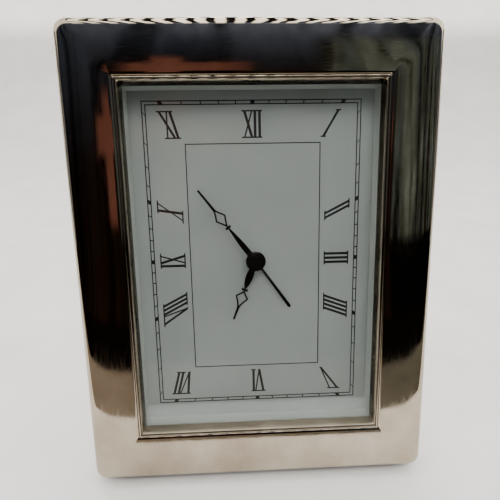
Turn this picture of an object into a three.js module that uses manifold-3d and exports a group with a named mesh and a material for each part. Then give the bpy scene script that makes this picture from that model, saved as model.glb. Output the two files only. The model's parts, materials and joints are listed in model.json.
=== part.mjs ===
// Desk alarm clock in a leaning silver photograph frame: rectangular dial, three hands, quartz
// alarm movement behind it and a hinged strut. Millimetres. The clock is drawn upright, with x to
// the right, y from the front of the window bead towards the back and z up from the bottom edge,
// and is then leaned back to rest on the frame's rear bottom edge and on the strut's foot.

import * as THREE from 'three';
import { mergeVertices } from 'three/addons/utils/BufferGeometryUtils.js';
import Module from 'manifold-3d';

const wasm = await Module();
wasm.setup();

// General fits
const GAP = 0.3; // between two faces that seat on each other
const RUNNING = 0.15; // radial clearance of a turning piece
const OVERSHOOT = 1; // how far a cutting shape runs past the faces that it cuts
const LEAN = 14; // degrees, the frame's lean back and the strut's slope

// Sides of a round piece, by its size
const LARGE_ROUND = 24;
const PLAIN_ROUND = 20;
const MEDIUM_ROUND = 16;
const SMALL_ROUND = 12;
const FINE_ROUND = 8;
const SCREW_ROUND = 10;

// Silver frame
const FRAME_WIDTH = 127;
const FRAME_HEIGHT = 163;
const FRAME_DEPTH = 17.5; // bead front to the skirt's rear edge
const CORNER_RADIUS = 4.5;
const SHEET = 0.6;
const EDGE_RADIUS = 3;
const CROWN_RADIUS = 46;
const CREST_INSET = 8.5; // the border's crest, in from the outer edge
const CROWN_RISE = 0.4; // the crest stands this far in front of the bead
const BORDER_WIDTH = 18;
const SLOPE_WIDTH = 2.3;
const SLOPE_DROP = 1.3;
const BEAD_RADIUS = 0.4;
const GROOVE_WIDTH = 0.2;
const GROOVE_DEPTH = 0.5;
const LIP_WIDTH = 0.8;
const LIP_DEPTH = 4.2;
const LIP_THICKNESS = 0.4;
const SHARP_CORNER = 0.3; // radius of a corner that is all but square

// Glass, spacer, dial and back board, in order behind the silver lip
const GLASS_THICKNESS = 1.5;
const GLASS_OVERLAP = 2.8; // hidden edge of the glass, spacer and dial behind the lip
const SPACER_REVEAL = 0.5; // the spacer's inner face stands back from the lip
const SPACER_DEPTH = 5.6;
const DIAL_THICKNESS = 1;
const DIAL_RAISE = 1.2; // dial centre above the frame's centre
const BOARD_THICKNESS = 3;

// Dial markings
const MARK_THICKNESS = 0.2;
const TRACK_SIDE_MARGIN = 4.15; // silver lip to the minute track, at the sides
const TRACK_END_MARGIN = 3.95; // and at the top and bottom
const TRACK_BAND = 1.6;
const TRACK_LINE = 0.38;
const PANEL_MARGIN = 14.8; // minute track to the thin inner rectangle
const PANEL_LINE = 0.36;
const BLOCK_WIDTH = 1.55;
const NUMERAL_MARGIN = 1.9; // the track's inner line to the numerals' outer ends
const NUMERAL_HEIGHT = 9.6;
const THICK_STROKE = 0.95;
const THIN_STROKE = 0.55;
const SERIF_REACH = 0.95; // past the outermost stroke's middle
const SERIF_THICKNESS = 0.5;
const LETTER_ADVANCE = { I: 1.65, V: 3, X: 3.3 };
const LETTER_SPREAD = { I: 0, V: 1.6, X: 1.4 }; // stroke ends, from the letter's middle

// Hands
const HAND_THICKNESS = 0.3;
const ALARM_HAND_HEIGHT = 1.6; // from the dial to the hand's front
const HOUR_HAND_HEIGHT = 2.8;
const MINUTE_HAND_HEIGHT = 4;
const MINUTE_ANGLE = 322; // degrees clockwise from twelve, as photographed
const HOUR_ANGLE = 201.3;
const ALARM_ANGLE = 144.8;
const MINUTE_LENGTH = 33.3;
const HOUR_LENGTH = 24.3;
const ALARM_LENGTH = 22.9;
const HUB_RADIUS = 3;
const CAP_RADIUS = 3.7;
const CAP_HEIGHT = 1;
const NUB_RADIUS = 0.9;
const NUB_HEIGHT = 0.3;
const ALARM_HALF_WIDTH = 0.42; // at the hub
const ALARM_TIP_HALF_WIDTH = 0.65;
const NEEDLE_TIP = 0.7; // the needle's width at its tip, as a share of its foot
const KITE_NECK = 0.42; // the kite's half width halfway to its apex, as a share of its widest
const POINT = 0.01; // half width of a sharp inner corner

// Movement case, centred on the dial
const CASE_SIZE = 56;
const CASE_CORNER = 3;
const CASE_WALL = 1.2;
const CASE_FRONT_DEPTH = 8.5;
const FRONT_PLATE = 1;
const REAR_PLATE = 1.2;
const CUTOUT_GAP = 0.5; // between the case and the back board around it
const EAR_LENGTH = 8.5;
const EAR_HEIGHT = 8;
const EAR_THICKNESS = 2;
const BOSS_RADIUS = 2;
const BOSS_CORNER = 3.8; // case wall to a boss's centre
const LOWER_BOSS_GAP = 1.3; // battery rib to the lower bosses

// Wheel train and plates
const WHEEL = 1; // thickness of the wheels that turn the hands
const PLATE_THICKNESS = 0.8;
const TRAIN_WHEEL = 0.8;
const ARBOR_RADIUS = 0.35;
const MINUTE_ARBOR_RADIUS = 1;
const HAND_SEAT_RADIUS = 0.8;
const TUBE_WALL = 0.45;
const SHAFT_RADIUS = 1;
const PIVOT_RADIUS = 0.6;
const POST_RADIUS = 1.2;
const ADDENDUM = 0.8; // tooth height above the pitch circle, in modules
const DEDENDUM = 1.1;
const ROOT_SHARE = 0.27; // half a tooth's width at its root, as a share of the tooth pitch
const TIP_SHARE = 0.11;

const CANNON_TEETH = 8;
const MOTION_TEETH = 24;
const MOTION_PINION_TEETH = 6;
const HOUR_TEETH = 24;
const TIME_PINION_TEETH = 12;
const ALARM_TEETH = 36;
const ALARM_PINION_TEETH = 12;
const ROTOR_TEETH = 6;
const INTERMEDIATE_TEETH = 36;
const INTERMEDIATE_PINION_TEETH = 8;
const SECONDS_TEETH = 40;
const SECONDS_PINION_TEETH = 6;
const THIRD_TEETH = 45;
const THIRD_PINION_TEETH = 6;
const CENTRE_TEETH = 48;

// Arbor distances as shares of the case's width, and directions in degrees from x towards z as
// seen from the front
const MOTION_SHARE = 8 / 56;
const MOTION_DIRECTION = -26;
const TIME_DIRECTION = 23; // from the motion wheel's post
const ALARM_SHARE = 12 / 56;
const ALARM_DIRECTION = 180;
const THIRD_SHARE = 9 / 56;
const THIRD_DIRECTION = 60;
const INTERMEDIATE_SHARE = 9.12 / 56;
const INTERMEDIATE_DIRECTION = 135;
const ROTOR_SHARE = 5.25 / 56; // from the intermediate arbor
const ROTOR_DIRECTION = 160;

// Stepping motor
const MAGNET_RADIUS = 2.5;
const MAGNET_LENGTH = 2;
const STATOR_THICKNESS = 1;
const STATOR_GAP = 0.4; // magnet to stator
const STATOR_BAND = 1.9; // stator around the magnet's hole
const LEG_WIDTH = 4;
const COIL_RADIUS = 3.7;
const COIL_LENGTH = 11;
const COIL_RISE = 11.2; // coil's centre line above the rotor's
const BOBBIN_RADIUS = 2;
const FLANGE_RADIUS = 4;
const FLANGE_THICKNESS = 0.6;
const CORE_HEIGHT = 2.4;
const CORE_THICKNESS = 0.8;

// Battery, contacts, circuit, buzzer and switch
const CELL_SLENDERNESS = 7.25 / 49.2; // a penlight cell's radius over the length of its can
const CELL_ROOM = 0.2; // battery to the case's rear plate
const BATTERY_NUB_RADIUS = 2.6;
const BATTERY_NUB_LENGTH = 1.3;
const RIB = 0.8;
const CONTACT_THICKNESS = 0.4;
const CONTACT_WIDTH = 7;
const CONTACT_SPRING = 1.1; // how far the spring leaf stands off its end wall
const DOOR_MARGIN = 3; // battery door to the case's sides
const DOOR_RIDGE = 0.5;
const DOOR_RIDGE_WIDTH = 0.8;
const DOOR_RIDGE_SPACING = 2;
const CIRCUIT_THICKNESS = 0.8;
const CIRCUIT_WIDTH = 14.5;
const CIRCUIT_HEIGHT = 16;
const CIRCUIT_ROOM = 1.6; // circuit board to the buzzer behind it
const CHIP_RADIUS = 2.6;
const CHIP_HEIGHT = 1;
const CHIP_EDGE = 0.8; // height at the chip's shoulder
const CHIP_TOP = 0.6; // share of the chip's radius inside the shoulder
const CRYSTAL_RADIUS = 0.9;
const CRYSTAL_LENGTH = 6;
const BUZZER_RADIUS = 8.5;
const BUZZER_THICKNESS = 1.3;
const BUZZER_ROOM = 0.2; // train bridge to the buzzer
const SOUND_HOLE = 0.9;
const SOUND_RING = 4.5;
const SOUND_HOLES = 6; // in the ring
const BUZZER_SHIFT = [-1, 0.5]; // from the middle of the case's upper right quarter
const SWITCH_SLOT_LENGTH = 8;
const SWITCH_SLOT_WIDTH = 2.4;
const SWITCH_TRAVEL = 4;
const SWITCH_BUTTON = 3.4;
const SWITCH_HEIGHT = 1.2;
const SWITCH_SHIFT = 1; // the slot's middle, left of the rotor

// Setting knobs
const KNOB_RADIUS = 5;
const KNOB_THICKNESS = 3.5;
const KNOB_STAND_OFF = 0.5;
const KNOB_FLUTES = 16;
const FLUTE_DEPTH = 0.35;
const PIVOT_SINK = 0.7; // depth of a knob's front pivot in the front plate

// Screws: head and shank radii, head height and shank length
const BOARD_SCREW = { head: 2.4, height: 1.2, shank: 1.2, length: 9 };
const EAR_SCREW = { head: 2, height: 1, shank: 1, length: 5 };
const CASE_SCREW = { head: 1.7, height: 0.9, shank: 0.7, length: 14 };
const LEAF_SCREW = { head: 1.5, height: 0.6, shank: 0.8, length: 2.8 };
const BOARD_SCREW_INSET = 8;
const SCREW_CLEARANCE = 0.2;
const SCREW_FLAT = 0.7; // share of a screw's head that is flat on top
const SLOT_FLOOR = 0.55; // share of the head's height left under its slot
const SLOT_WIDTH = 0.24; // share of the head's radius

// Strut and its hinge, drawn closed and then opened by twice the lean
const HINGE_DROP = 10.7; // movement case's lower edge to the hinge's axis
const HINGE_WIDTH = 24;
const LEAF_THICKNESS = 0.8;
const LEAF_HEIGHT = 6.8; // beyond the knuckle
const KNUCKLE_RADIUS = 2;
const KNUCKLE_LENGTH = 11;
const PIN_RADIUS = 0.8;
const PIN_HEAD = 0.6; // length of the pin's two heads
const PIN_HEAD_RADIUS = 1.2;
const STOP_HEIGHT = 4.5; // stop tab above the hinge's axis
const STRUT_THICKNESS = 3;
const STRUT_TOP_WIDTH = 32;
const STRUT_FOOT_WIDTH = 44;
const STRUT_TOP_GAP = 0.6; // knuckle to the strut's top edge

const radians = (degrees) => (degrees * Math.PI) / 180;
const clearance = (radius) => radius + RUNNING;

// Depths from the bead's front, worked out from the sizes above
const sightInset = BORDER_WIDTH + 2 * BEAD_RADIUS + GROOVE_WIDTH + LIP_WIDTH;
const glassInset = sightInset - GLASS_OVERLAP;
const spacerInset = sightInset - SPACER_REVEAL;
const lipRear = LIP_DEPTH + LIP_THICKNESS;
const glassFront = lipRear + GAP;
const glassRear = glassFront + GLASS_THICKNESS;
const spacerFront = glassRear + GAP;
const spacerRear = spacerFront + SPACER_DEPTH;
const dialFront = spacerRear + GAP;
const dialRear = dialFront + DIAL_THICKNESS;
const boardFront = dialRear + GAP;
const boardRear = boardFront + BOARD_THICKNESS;
const boardInset = SHEET + GAP;
const frameCentre = FRAME_HEIGHT / 2;
const dialCentre = frameCentre + DIAL_RAISE;
const hingeHeight = dialCentre - CASE_SIZE / 2 - HINGE_DROP;

// Minute track and inner rectangle
const trackWidth = FRAME_WIDTH - 2 * (sightInset + TRACK_SIDE_MARGIN);
const trackHeight = FRAME_HEIGHT - 2 * (sightInset + TRACK_END_MARGIN);
const panelWidth = trackWidth - 2 * PANEL_MARGIN;
const panelHeight = trackHeight - 2 * PANEL_MARGIN;

// The battery and its contacts fill the case's width, and its thickness sets the case's depth
const caseInside = CASE_SIZE / 2 - CASE_WALL;
const contactRoom = 2 * (2 * GAP + CONTACT_THICKNESS) + CONTACT_SPRING;
const batteryLength = 2 * caseInside - contactRoom - BATTERY_NUB_LENGTH;
const batteryRadius = batteryLength * CELL_SLENDERNESS;
const rearInside = FRONT_PLATE + GAP + 2 * batteryRadius + CELL_ROOM;
const caseDepth = rearInside + REAR_PLATE;

// Depths inside the movement, from the front of its case. The layers of wheels and plates share
// what the depth in front of the buzzer leaves as equal gaps.
const buzzerFront = rearInside - GAP - BUZZER_THICKNESS;
const layersThickness = 3 * WHEEL + 4 * TRAIN_WHEEL + 2 * PLATE_THICKNESS;
const wheelGap = (buzzerFront - BUZZER_ROOM - FRONT_PLATE - layersThickness) / 9;
const dialBehind = dialFront - boardFront;
const layer = (front, thickness) => ({ front, rear: front + thickness });
const alarmLayer = layer(FRONT_PLATE + wheelGap, WHEEL);
const hourLayer = layer(alarmLayer.rear + wheelGap, WHEEL);
const motionLayer = layer(hourLayer.rear + wheelGap, WHEEL);
const middleLayer = layer(motionLayer.rear + wheelGap, PLATE_THICKNESS);
const centreLayer = layer(middleLayer.rear + wheelGap, TRAIN_WHEEL);
const thirdLayer = layer(centreLayer.rear + wheelGap, TRAIN_WHEEL);
const secondsLayer = layer(thirdLayer.rear + wheelGap, TRAIN_WHEEL);
const intermediateLayer = layer(secondsLayer.rear + wheelGap, TRAIN_WHEEL);
const bridgeLayer = layer(intermediateLayer.rear + wheelGap, PLATE_THICKNESS);
const statorLayer = layer(middleLayer.rear + GAP, STATOR_THICKNESS);

// Arbor distances, and places in the front view, from the dial's centre
const motionDistance = MOTION_SHARE * CASE_SIZE;
const timeDistance = (motionDistance * (MOTION_TEETH + TIME_PINION_TEETH)) / (CANNON_TEETH + MOTION_TEETH);
const alarmDistance = ALARM_SHARE * CASE_SIZE;
const thirdDistance = THIRD_SHARE * CASE_SIZE;
const intermediateDistance = INTERMEDIATE_SHARE * CASE_SIZE;
const rotorDistance = ROTOR_SHARE * CASE_SIZE;
const polar = (distance, direction, [x, z] = [0, 0]) => [
  x + distance * Math.cos(radians(direction)),
  z + distance * Math.sin(radians(direction)),
];
const motionPlace = polar(motionDistance, MOTION_DIRECTION);
const timePlace = polar(timeDistance, TIME_DIRECTION, motionPlace);
const alarmPlace = polar(alarmDistance, ALARM_DIRECTION);
const thirdPlace = polar(thirdDistance, THIRD_DIRECTION);
const intermediatePlace = polar(intermediateDistance, INTERMEDIATE_DIRECTION);
const rotorPlace = polar(rotorDistance, ROTOR_DIRECTION, intermediatePlace);

const finishes = {
  silver: ['#d9d8d4', 0.12, 1],
  wood: ['#5b2f1c', 0.45, 0],
  glass: ['#dfe8e6', 0.05, 0],
  card: ['#e9e9e4', 0.8, 0],
  dial: ['#eceef0', 0.6, 0],
  black: ['#0c0c0d', 0.35, 0],
  brass: ['#c39a4a', 0.3, 1],
  steel: ['#b5b8bb', 0.3, 1],
  copper: ['#b06a3a', 0.35, 1],
  plastic: ['#1b1b1d', 0.5, 0],
  nylon: ['#e6e2d6', 0.5, 0],
  green: ['#24553a', 0.6, 0],
  battery: ['#2a3f7a', 0.4, 0.2],
};

// Mesh tools

function mesh(name, geometry, [color, roughness, metalness]) {
  const piece = new THREE.Mesh(geometry, new THREE.MeshStandardMaterial({ color, roughness, metalness }));
  piece.name = name;
  return piece;
}

function at(piece, x, y, z) {
  piece.position.set(x, y, z);
  return piece;
}

function bare(geometry) {
  const copy = geometry.clone();
  copy.deleteAttribute('normal');
  copy.deleteAttribute('uv');
  return mergeVertices(copy);
}

function toSolid(geometry) {
  const merged = bare(geometry);
  const vertProperties = new Float32Array(merged.attributes.position.array);
  const triVerts = new Uint32Array(merged.index.array);
  return new wasm.Manifold(new wasm.Mesh({ numProp: 3, vertProperties, triVerts }));
}

function toGeometry(solid) {
  const { vertProperties, triVerts } = solid.getMesh();
  const geometry = new THREE.BufferGeometry();
  geometry.setAttribute('position', new THREE.BufferAttribute(new Float32Array(vertProperties), 3));
  geometry.setIndex(new THREE.BufferAttribute(new Uint32Array(triVerts), 1));
  return geometry;
}

function join(first, ...others) {
  return toGeometry(others.reduce((sum, geometry) => sum.add(toSolid(geometry)), toSolid(first)));
}

function cut(first, ...tools) {
  return toGeometry(tools.reduce((rest, geometry) => rest.subtract(toSolid(geometry)), toSolid(first)));
}

function common(first, second) {
  return toGeometry(toSolid(first).intersect(toSolid(second)));
}

// Plain shapes

function polygon(points) {
  return new THREE.Shape(points.map(([x, y]) => new THREE.Vector2(x, y)));
}

function rectangle(width, height, middle = 0) {
  const x = width / 2;
  const low = middle - height / 2;
  const high = middle + height / 2;
  return polygon([[-x, low], [x, low], [x, high], [-x, high]]);
}

function circle(x, z, radius) {
  const path = new THREE.Path();
  path.absarc(x, z, radius, 0, 2 * Math.PI);
  return path;
}

function roundedRectangle(width, height, radius, middle = 0) {
  const x = width / 2 - radius;
  const low = middle - height / 2 + radius;
  const high = middle + height / 2 - radius;
  const shape = new THREE.Shape();
  shape.absarc(x, high, radius, 0, Math.PI / 2);
  shape.absarc(-x, high, radius, Math.PI / 2, Math.PI);
  shape.absarc(-x, low, radius, Math.PI, 1.5 * Math.PI);
  shape.absarc(x, low, radius, 1.5 * Math.PI, 2 * Math.PI);
  return shape;
}

// A front view outline carried from one depth to another
function slab(shape, front, back, curveSegments = 2) {
  const options = { depth: back - front, bevelEnabled: false, curveSegments };
  return new THREE.ExtrudeGeometry(shape, options).rotateX(Math.PI / 2).translate(0, back, 0);
}

// A side view outline, in depth and height, carried from one x to another
function sideSlab(points, left, right) {
  const options = { depth: right - left, bevelEnabled: false };
  const turn = new THREE.Matrix4().set(0, 0, 1, left, 1, 0, 0, 0, 0, 1, 0, 0, 0, 0, 0, 1);
  return new THREE.ExtrudeGeometry(polygon(points), options).applyMatrix4(turn);
}

function block(left, right, front, back, bottom, top) {
  const geometry = new THREE.BoxGeometry(right - left, back - front, top - bottom);
  return geometry.translate((left + right) / 2, (front + back) / 2, (bottom + top) / 2);
}

function rod(radius, front, back, [x, z] = [0, 0], sides = PLAIN_ROUND) {
  const geometry = new THREE.CylinderGeometry(radius, radius, back - front, sides);
  return geometry.translate(x, (front + back) / 2, z);
}

// A rod that runs past both faces of what it cuts
function through(radius, front, back, place = [0, 0], sides = PLAIN_ROUND) {
  return rod(radius, front - OVERSHOOT, back + OVERSHOOT, place, sides);
}

function crossRod(radius, left, right, y, z, sides = PLAIN_ROUND) {
  const geometry = new THREE.CylinderGeometry(radius, radius, right - left, sides);
  return geometry.rotateZ(-Math.PI / 2).translate((left + right) / 2, y, z);
}

function arcPoints(centreX, centreY, radius, from, to, steps) {
  const points = [];
  for (let step = 0; step <= steps; step += 1) {
    const angle = from + ((to - from) * step) / steps;
    points.push([centreX + radius * Math.cos(angle), centreY + radius * Math.sin(angle)]);
  }
  return points;
}

// A closed section, in inset from the outer edge and depth, carried round a rounded rectangle
function moulding(section, width, height, cornerRadius, middle) {
  const steps = 3;
  const signs = [[1, 1], [-1, 1], [-1, -1], [1, -1]];
  const rings = section.map(([inset, depth]) => {
    const radius = Math.max(cornerRadius - inset, SHARP_CORNER);
    const x = width / 2 - inset - radius;
    const z = height / 2 - inset - radius;
    return signs.flatMap(([signX, signZ], corner) => {
      const from = (Math.PI / 2) * corner;
      const arc = arcPoints(signX * x, middle + signZ * z, radius, from, from + Math.PI / 2, steps);
      return arc.map(([ringX, ringZ]) => [ringX, depth, ringZ]);
    });
  });
  const count = rings[0].length;
  const index = [];
  for (let i = 0; i < rings.length; i += 1) {
    const next = (i + 1) % rings.length;
    for (let j = 0; j < count; j += 1) {
      const after = (j + 1) % count;
      const corners = [i * count + j, i * count + after, next * count + after, next * count + j];
      index.push(corners[0], corners[1], corners[2], corners[0], corners[2], corners[3]);
    }
  }
  const geometry = new THREE.BufferGeometry();
  geometry.setAttribute('position', new THREE.Float32BufferAttribute(rings.flat(2), 3));
  geometry.setIndex(index);
  return geometry;
}

// An outline of radius and depth, turned about the front-to-back axis
function turned(outline, sides) {
  return new THREE.LatheGeometry(outline.map(([radius, depth]) => new THREE.Vector2(radius, depth)), sides);
}

// A slotted round-head screw that enters towards the front, its head's underside at depth 0
function screw({ head, height, shank, length }) {
  const outline = [
    [0, -length],
    [shank, -length],
    [shank, 0],
    [head, 0],
    [head, height / 2],
    [head * SCREW_FLAT, height],
    [0, height],
  ];
  const body = turned(outline, SCREW_ROUND);
  const half = (head * SLOT_WIDTH) / 2;
  return cut(body, block(-2 * head, 2 * head, height * SLOT_FLOOR, 2 * height, -half, half));
}

// Silver frame and wooden former

const crownDepth = CROWN_RADIUS - CROWN_RISE; // the crown's centre lies this deep
const slopeTop = BORDER_WIDTH - SLOPE_WIDTH;
const crownEnd = 2 * Math.PI - Math.acos((slopeTop - CREST_INSET) / CROWN_RADIUS);

// The border's front line from the skirt over the round edge and the crown, offset inwards
function borderLine(offset, rear, edgeSteps, crownSteps) {
  const span = (CROWN_RADIUS - EDGE_RADIUS) ** 2 - (CREST_INSET - EDGE_RADIUS) ** 2;
  const edgeDepth = crownDepth - Math.sqrt(span);
  const tangent = 2 * Math.PI + Math.atan2(edgeDepth - crownDepth, EDGE_RADIUS - CREST_INSET);
  const edge = arcPoints(EDGE_RADIUS, edgeDepth, EDGE_RADIUS - offset, Math.PI, tangent, edgeSteps);
  const crown = arcPoints(CREST_INSET, crownDepth, CROWN_RADIUS - offset, tangent, crownEnd, crownSteps);
  return [[offset, rear], ...edge, ...crown.slice(1)];
}

// A quarter of an ellipse that starts level and ends upright
function quarterEllipse(inset, depth, width, drop, steps) {
  const points = [];
  for (let step = 1; step <= steps; step += 1) {
    const angle = (Math.PI / 2) * (step / steps);
    points.push([inset + width * Math.sin(angle), depth + drop * (1 - Math.cos(angle))]);
  }
  return points;
}

function silverFrame() {
  const slopeDepth = crownDepth + CROWN_RADIUS * Math.sin(crownEnd);
  const innerBead = BORDER_WIDTH + 2 * BEAD_RADIUS + GROOVE_WIDTH;
  const front = [
    ...borderLine(0, FRAME_DEPTH, 4, 7),
    ...quarterEllipse(slopeTop, slopeDepth, SLOPE_WIDTH, SLOPE_DROP, 3),
    ...arcPoints(BORDER_WIDTH + BEAD_RADIUS, BEAD_RADIUS, BEAD_RADIUS, Math.PI, 2 * Math.PI, 4),
    [innerBead - GROOVE_WIDTH / 2, GROOVE_DEPTH],
    [innerBead, 0],
    ...quarterEllipse(innerBead, 0, LIP_WIDTH, LIP_DEPTH, 4),
  ];
  const hidden = [...borderLine(SHEET, FRAME_DEPTH, 3, 4), [BORDER_WIDTH - SHEET, lipRear]];
  const section = [...front, [sightInset, lipRear], ...hidden.reverse()];
  return moulding(section, FRAME_WIDTH, FRAME_HEIGHT, CORNER_RADIUS, frameCentre);
}

function boardScrewPlaces() {
  const x = FRAME_WIDTH / 2 - BOARD_SCREW_INSET;
  const z = FRAME_HEIGHT / 2 - BOARD_SCREW_INSET;
  return [[x, z], [-x, z], [-x, -z], [x, -z]].map(([right, up]) => [right, frameCentre + up]);
}

function woodFormer() {
  const line = borderLine(boardInset, dialRear, 3, 4);
  const inner = glassInset - GAP;
  const flat = line.filter(([inset]) => inset < slopeTop - SHEET);
  const section = [...flat, [inner, lipRear], [inner, dialRear]];
  const former = moulding(section, FRAME_WIDTH, FRAME_HEIGHT, CORNER_RADIUS, frameCentre);
  const radius = BOARD_SCREW.shank + SCREW_CLEARANCE;
  const holes = boardScrewPlaces().map((place) => rod(radius, lipRear, boardFront, place, SMALL_ROUND));
  return cut(former, ...holes);
}

// Glass, spacer and dial

const insetRectangle = (inset) => rectangle(FRAME_WIDTH - 2 * inset, FRAME_HEIGHT - 2 * inset, frameCentre);

function spacerFrame() {
  const shape = insetRectangle(glassInset);
  shape.holes.push(insetRectangle(spacerInset));
  return slab(shape, spacerFront, spacerRear);
}

// Dial markings, figures raised on the dial; heights here are from the dial's centre

const markSlab = (shape) => slab(shape, dialFront - MARK_THICKNESS, dialFront + MARK_THICKNESS);

function lineFrame(width, height, line) {
  const shape = rectangle(width, height);
  shape.holes.push(rectangle(width - 2 * line, height - 2 * line));
  return markSlab(shape);
}

// Where the ray at a clock angle crosses a rectangle's edge, and the side it crosses
function onRectangle(degrees, halfWidth, halfHeight) {
  const right = Math.sin(radians(degrees));
  const up = Math.cos(radians(degrees));
  const upright = Math.abs(right) * halfHeight > Math.abs(up) * halfWidth;
  const reach = upright ? halfWidth / Math.abs(right) : halfHeight / Math.abs(up);
  const out = upright ? [Math.sign(right), 0] : [0, Math.sign(up)];
  return { point: [right * reach, up * reach], out, along: [out[1], -out[0]] };
}

// A bar between two points, its ends cut parallel to the nearest side of the dial
function bar([x0, z0], [x1, z1], [alongX, alongZ], width) {
  const half = width / 2;
  const corners = [
    [x0 - alongX * half, z0 - alongZ * half],
    [x0 + alongX * half, z0 + alongZ * half],
    [x1 + alongX * half, z1 + alongZ * half],
    [x1 - alongX * half, z1 - alongZ * half],
  ];
  return markSlab(polygon(corners));
}

const hourAngle = (hour) => (360 / 12) * hour;

function hourBlock(hour) {
  const inset = TRACK_LINE / 2;
  const outer = onRectangle(hourAngle(hour), trackWidth / 2 - inset, trackHeight / 2 - inset);
  const inner = TRACK_BAND - TRACK_LINE;
  const share = 1 - inner / Math.abs(outer.point[0] * outer.out[0] + outer.point[1] * outer.out[1]);
  return bar(outer.point.map((value) => value * share), outer.point, outer.along, BLOCK_WIDTH);
}

// Strokes of a letter: place across at the inner end, at the outer end, and thickness
function letterStrokes(letter, middle) {
  const left = middle - LETTER_SPREAD[letter];
  const right = middle + LETTER_SPREAD[letter];
  if (letter === 'I') return [[middle, middle, THICK_STROKE]];
  if (letter === 'V') return [[middle, left, THICK_STROKE], [middle, right, THIN_STROKE]];
  return [[right, left, THICK_STROKE], [left, right, THIN_STROKE]];
}

// A numeral with its top outwards and its letters read clockwise. Its strokes run in towards the
// hub by so many millimetres sideways for each millimetre of height.
function numeral(hour, letters, slope) {
  const margin = TRACK_BAND + NUMERAL_MARGIN;
  const halfWidth = trackWidth / 2 - margin;
  const halfHeight = trackHeight / 2 - margin;
  const { point, out, along } = onRectangle(hourAngle(hour), halfWidth, halfHeight);
  const lean = slope * Math.sign(point[0] * along[0] + point[1] * along[1]);
  const spot = (across, height) => {
    const inward = NUMERAL_HEIGHT - height;
    return [0, 1].map((axis) => point[axis] - out[axis] * inward + along[axis] * (across - lean * inward));
  };
  // One serif line joins the stroke ends across the letters
  const serif = (ends, low) => {
    const first = Math.min(...ends) - SERIF_REACH;
    const last = Math.max(...ends) + SERIF_REACH;
    const centre = (first + last) / 2;
    return bar(spot(centre, low), spot(centre, low + SERIF_THICKNESS), along, last - first);
  };
  const total = letters.reduce((sum, letter) => sum + LETTER_ADVANCE[letter], 0);
  let start = -total / 2;
  const strokes = letters.flatMap((letter) => {
    const middle = start + LETTER_ADVANCE[letter] / 2;
    start += LETTER_ADVANCE[letter];
    return letterStrokes(letter, middle).map((stroke) => ({ stroke, pointed: letter === 'V' }));
  });
  const outerEnds = strokes.map(({ stroke }) => stroke[1]);
  const innerEnds = strokes.filter(({ pointed }) => !pointed).map(({ stroke }) => stroke[0]);
  const pieces = strokes.map(({ stroke: [inner, outer, thickness] }) => (
    bar(spot(inner, 0), spot(outer, NUMERAL_HEIGHT), along, thickness)
  ));
  pieces.push(serif(outerEnds, NUMERAL_HEIGHT - SERIF_THICKNESS));
  if (innerEnds.length > 0) pieces.push(serif(innerEnds, 0));
  return pieces;
}

// Hour, letters in clockwise reading order and the slope of the strokes
const NUMERALS = [
  [12, 'XII', 0], [1, 'I', 0.6], [2, 'II', 0.5], [3, 'III', 0], [4, 'IIII', 0.37], [5, 'V', 0.59],
  [6, 'VI', 0], [7, 'VII', 0.26], [8, 'VIII', 0.52], [9, 'IX', 0], [10, 'X', 0.44], [11, 'XI', 0.3],
];

function dialMarkings() {
  const between = 2 * (TRACK_BAND - TRACK_LINE);
  return [
    lineFrame(trackWidth, trackHeight, TRACK_LINE),
    lineFrame(trackWidth - between, trackHeight - between, TRACK_LINE),
    lineFrame(panelWidth, panelHeight, PANEL_LINE),
    ...NUMERALS.map(([hour]) => hourBlock(hour)),
    ...NUMERALS.flatMap(([hour, letters, slope]) => numeral(hour, [...letters], slope)),
  ];
}

function dialPlate() {
  const plate = slab(insetRectangle(glassInset), dialFront, dialRear);
  const hole = through(clearance(alarmTubeRadius), dialFront, dialRear, [0, dialCentre]);
  return cut(join(plate, ...dialMarkings().map((mark) => mark.translate(0, 0, dialCentre))), hole);
}

// Hands, drawn pointing up from the dial's centre, inside the movement's own frame

const minuteTubeGap = MINUTE_ARBOR_RADIUS + RUNNING;
const hourTubeRadius = minuteTubeGap + TUBE_WALL;
const alarmTubeRadius = hourTubeRadius + RUNNING + TUBE_WALL;
const handFront = (height) => dialBehind - height;

// Mirror a right-hand outline, given as distance along the hand and half width
function mirrored(points) {
  const right = points.map(([along, half]) => [half, along]);
  const left = points.map(([along, half]) => [-half, along]).reverse();
  return polygon([...right, ...left]);
}

// A leaf, a collar and an open kite that ends in a needle
function kiteHand({ length, leaf, collar, kite, line, needle }, height, hubRadius, holeRadius) {
  const front = handFront(height);
  const back = front + HAND_THICKNESS;
  const { base, wide, half, apex } = kite;
  const shape = mirrored([
    ...leaf,
    [collar.start, leaf.at(-1)[1]],
    [collar.start, collar.half],
    [collar.end, collar.half],
    [base, line],
    [wide, half],
    [(wide + apex) / 2, half * KITE_NECK],
    [apex, needle],
    [length, NEEDLE_TIP * needle],
  ]);
  const inside = mirrored([
    [base + line, POINT],
    [wide, half - 1.5 * line],
    [(wide + apex) / 2, half * KITE_NECK - 0.8 * line],
    [apex - 3 * line, POINT],
  ]);
  shape.holes.push(inside);
  const body = join(slab(shape, front, back), rod(hubRadius, front, back));
  return cut(body, rod(holeRadius, front - GAP, back + GAP));
}

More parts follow.
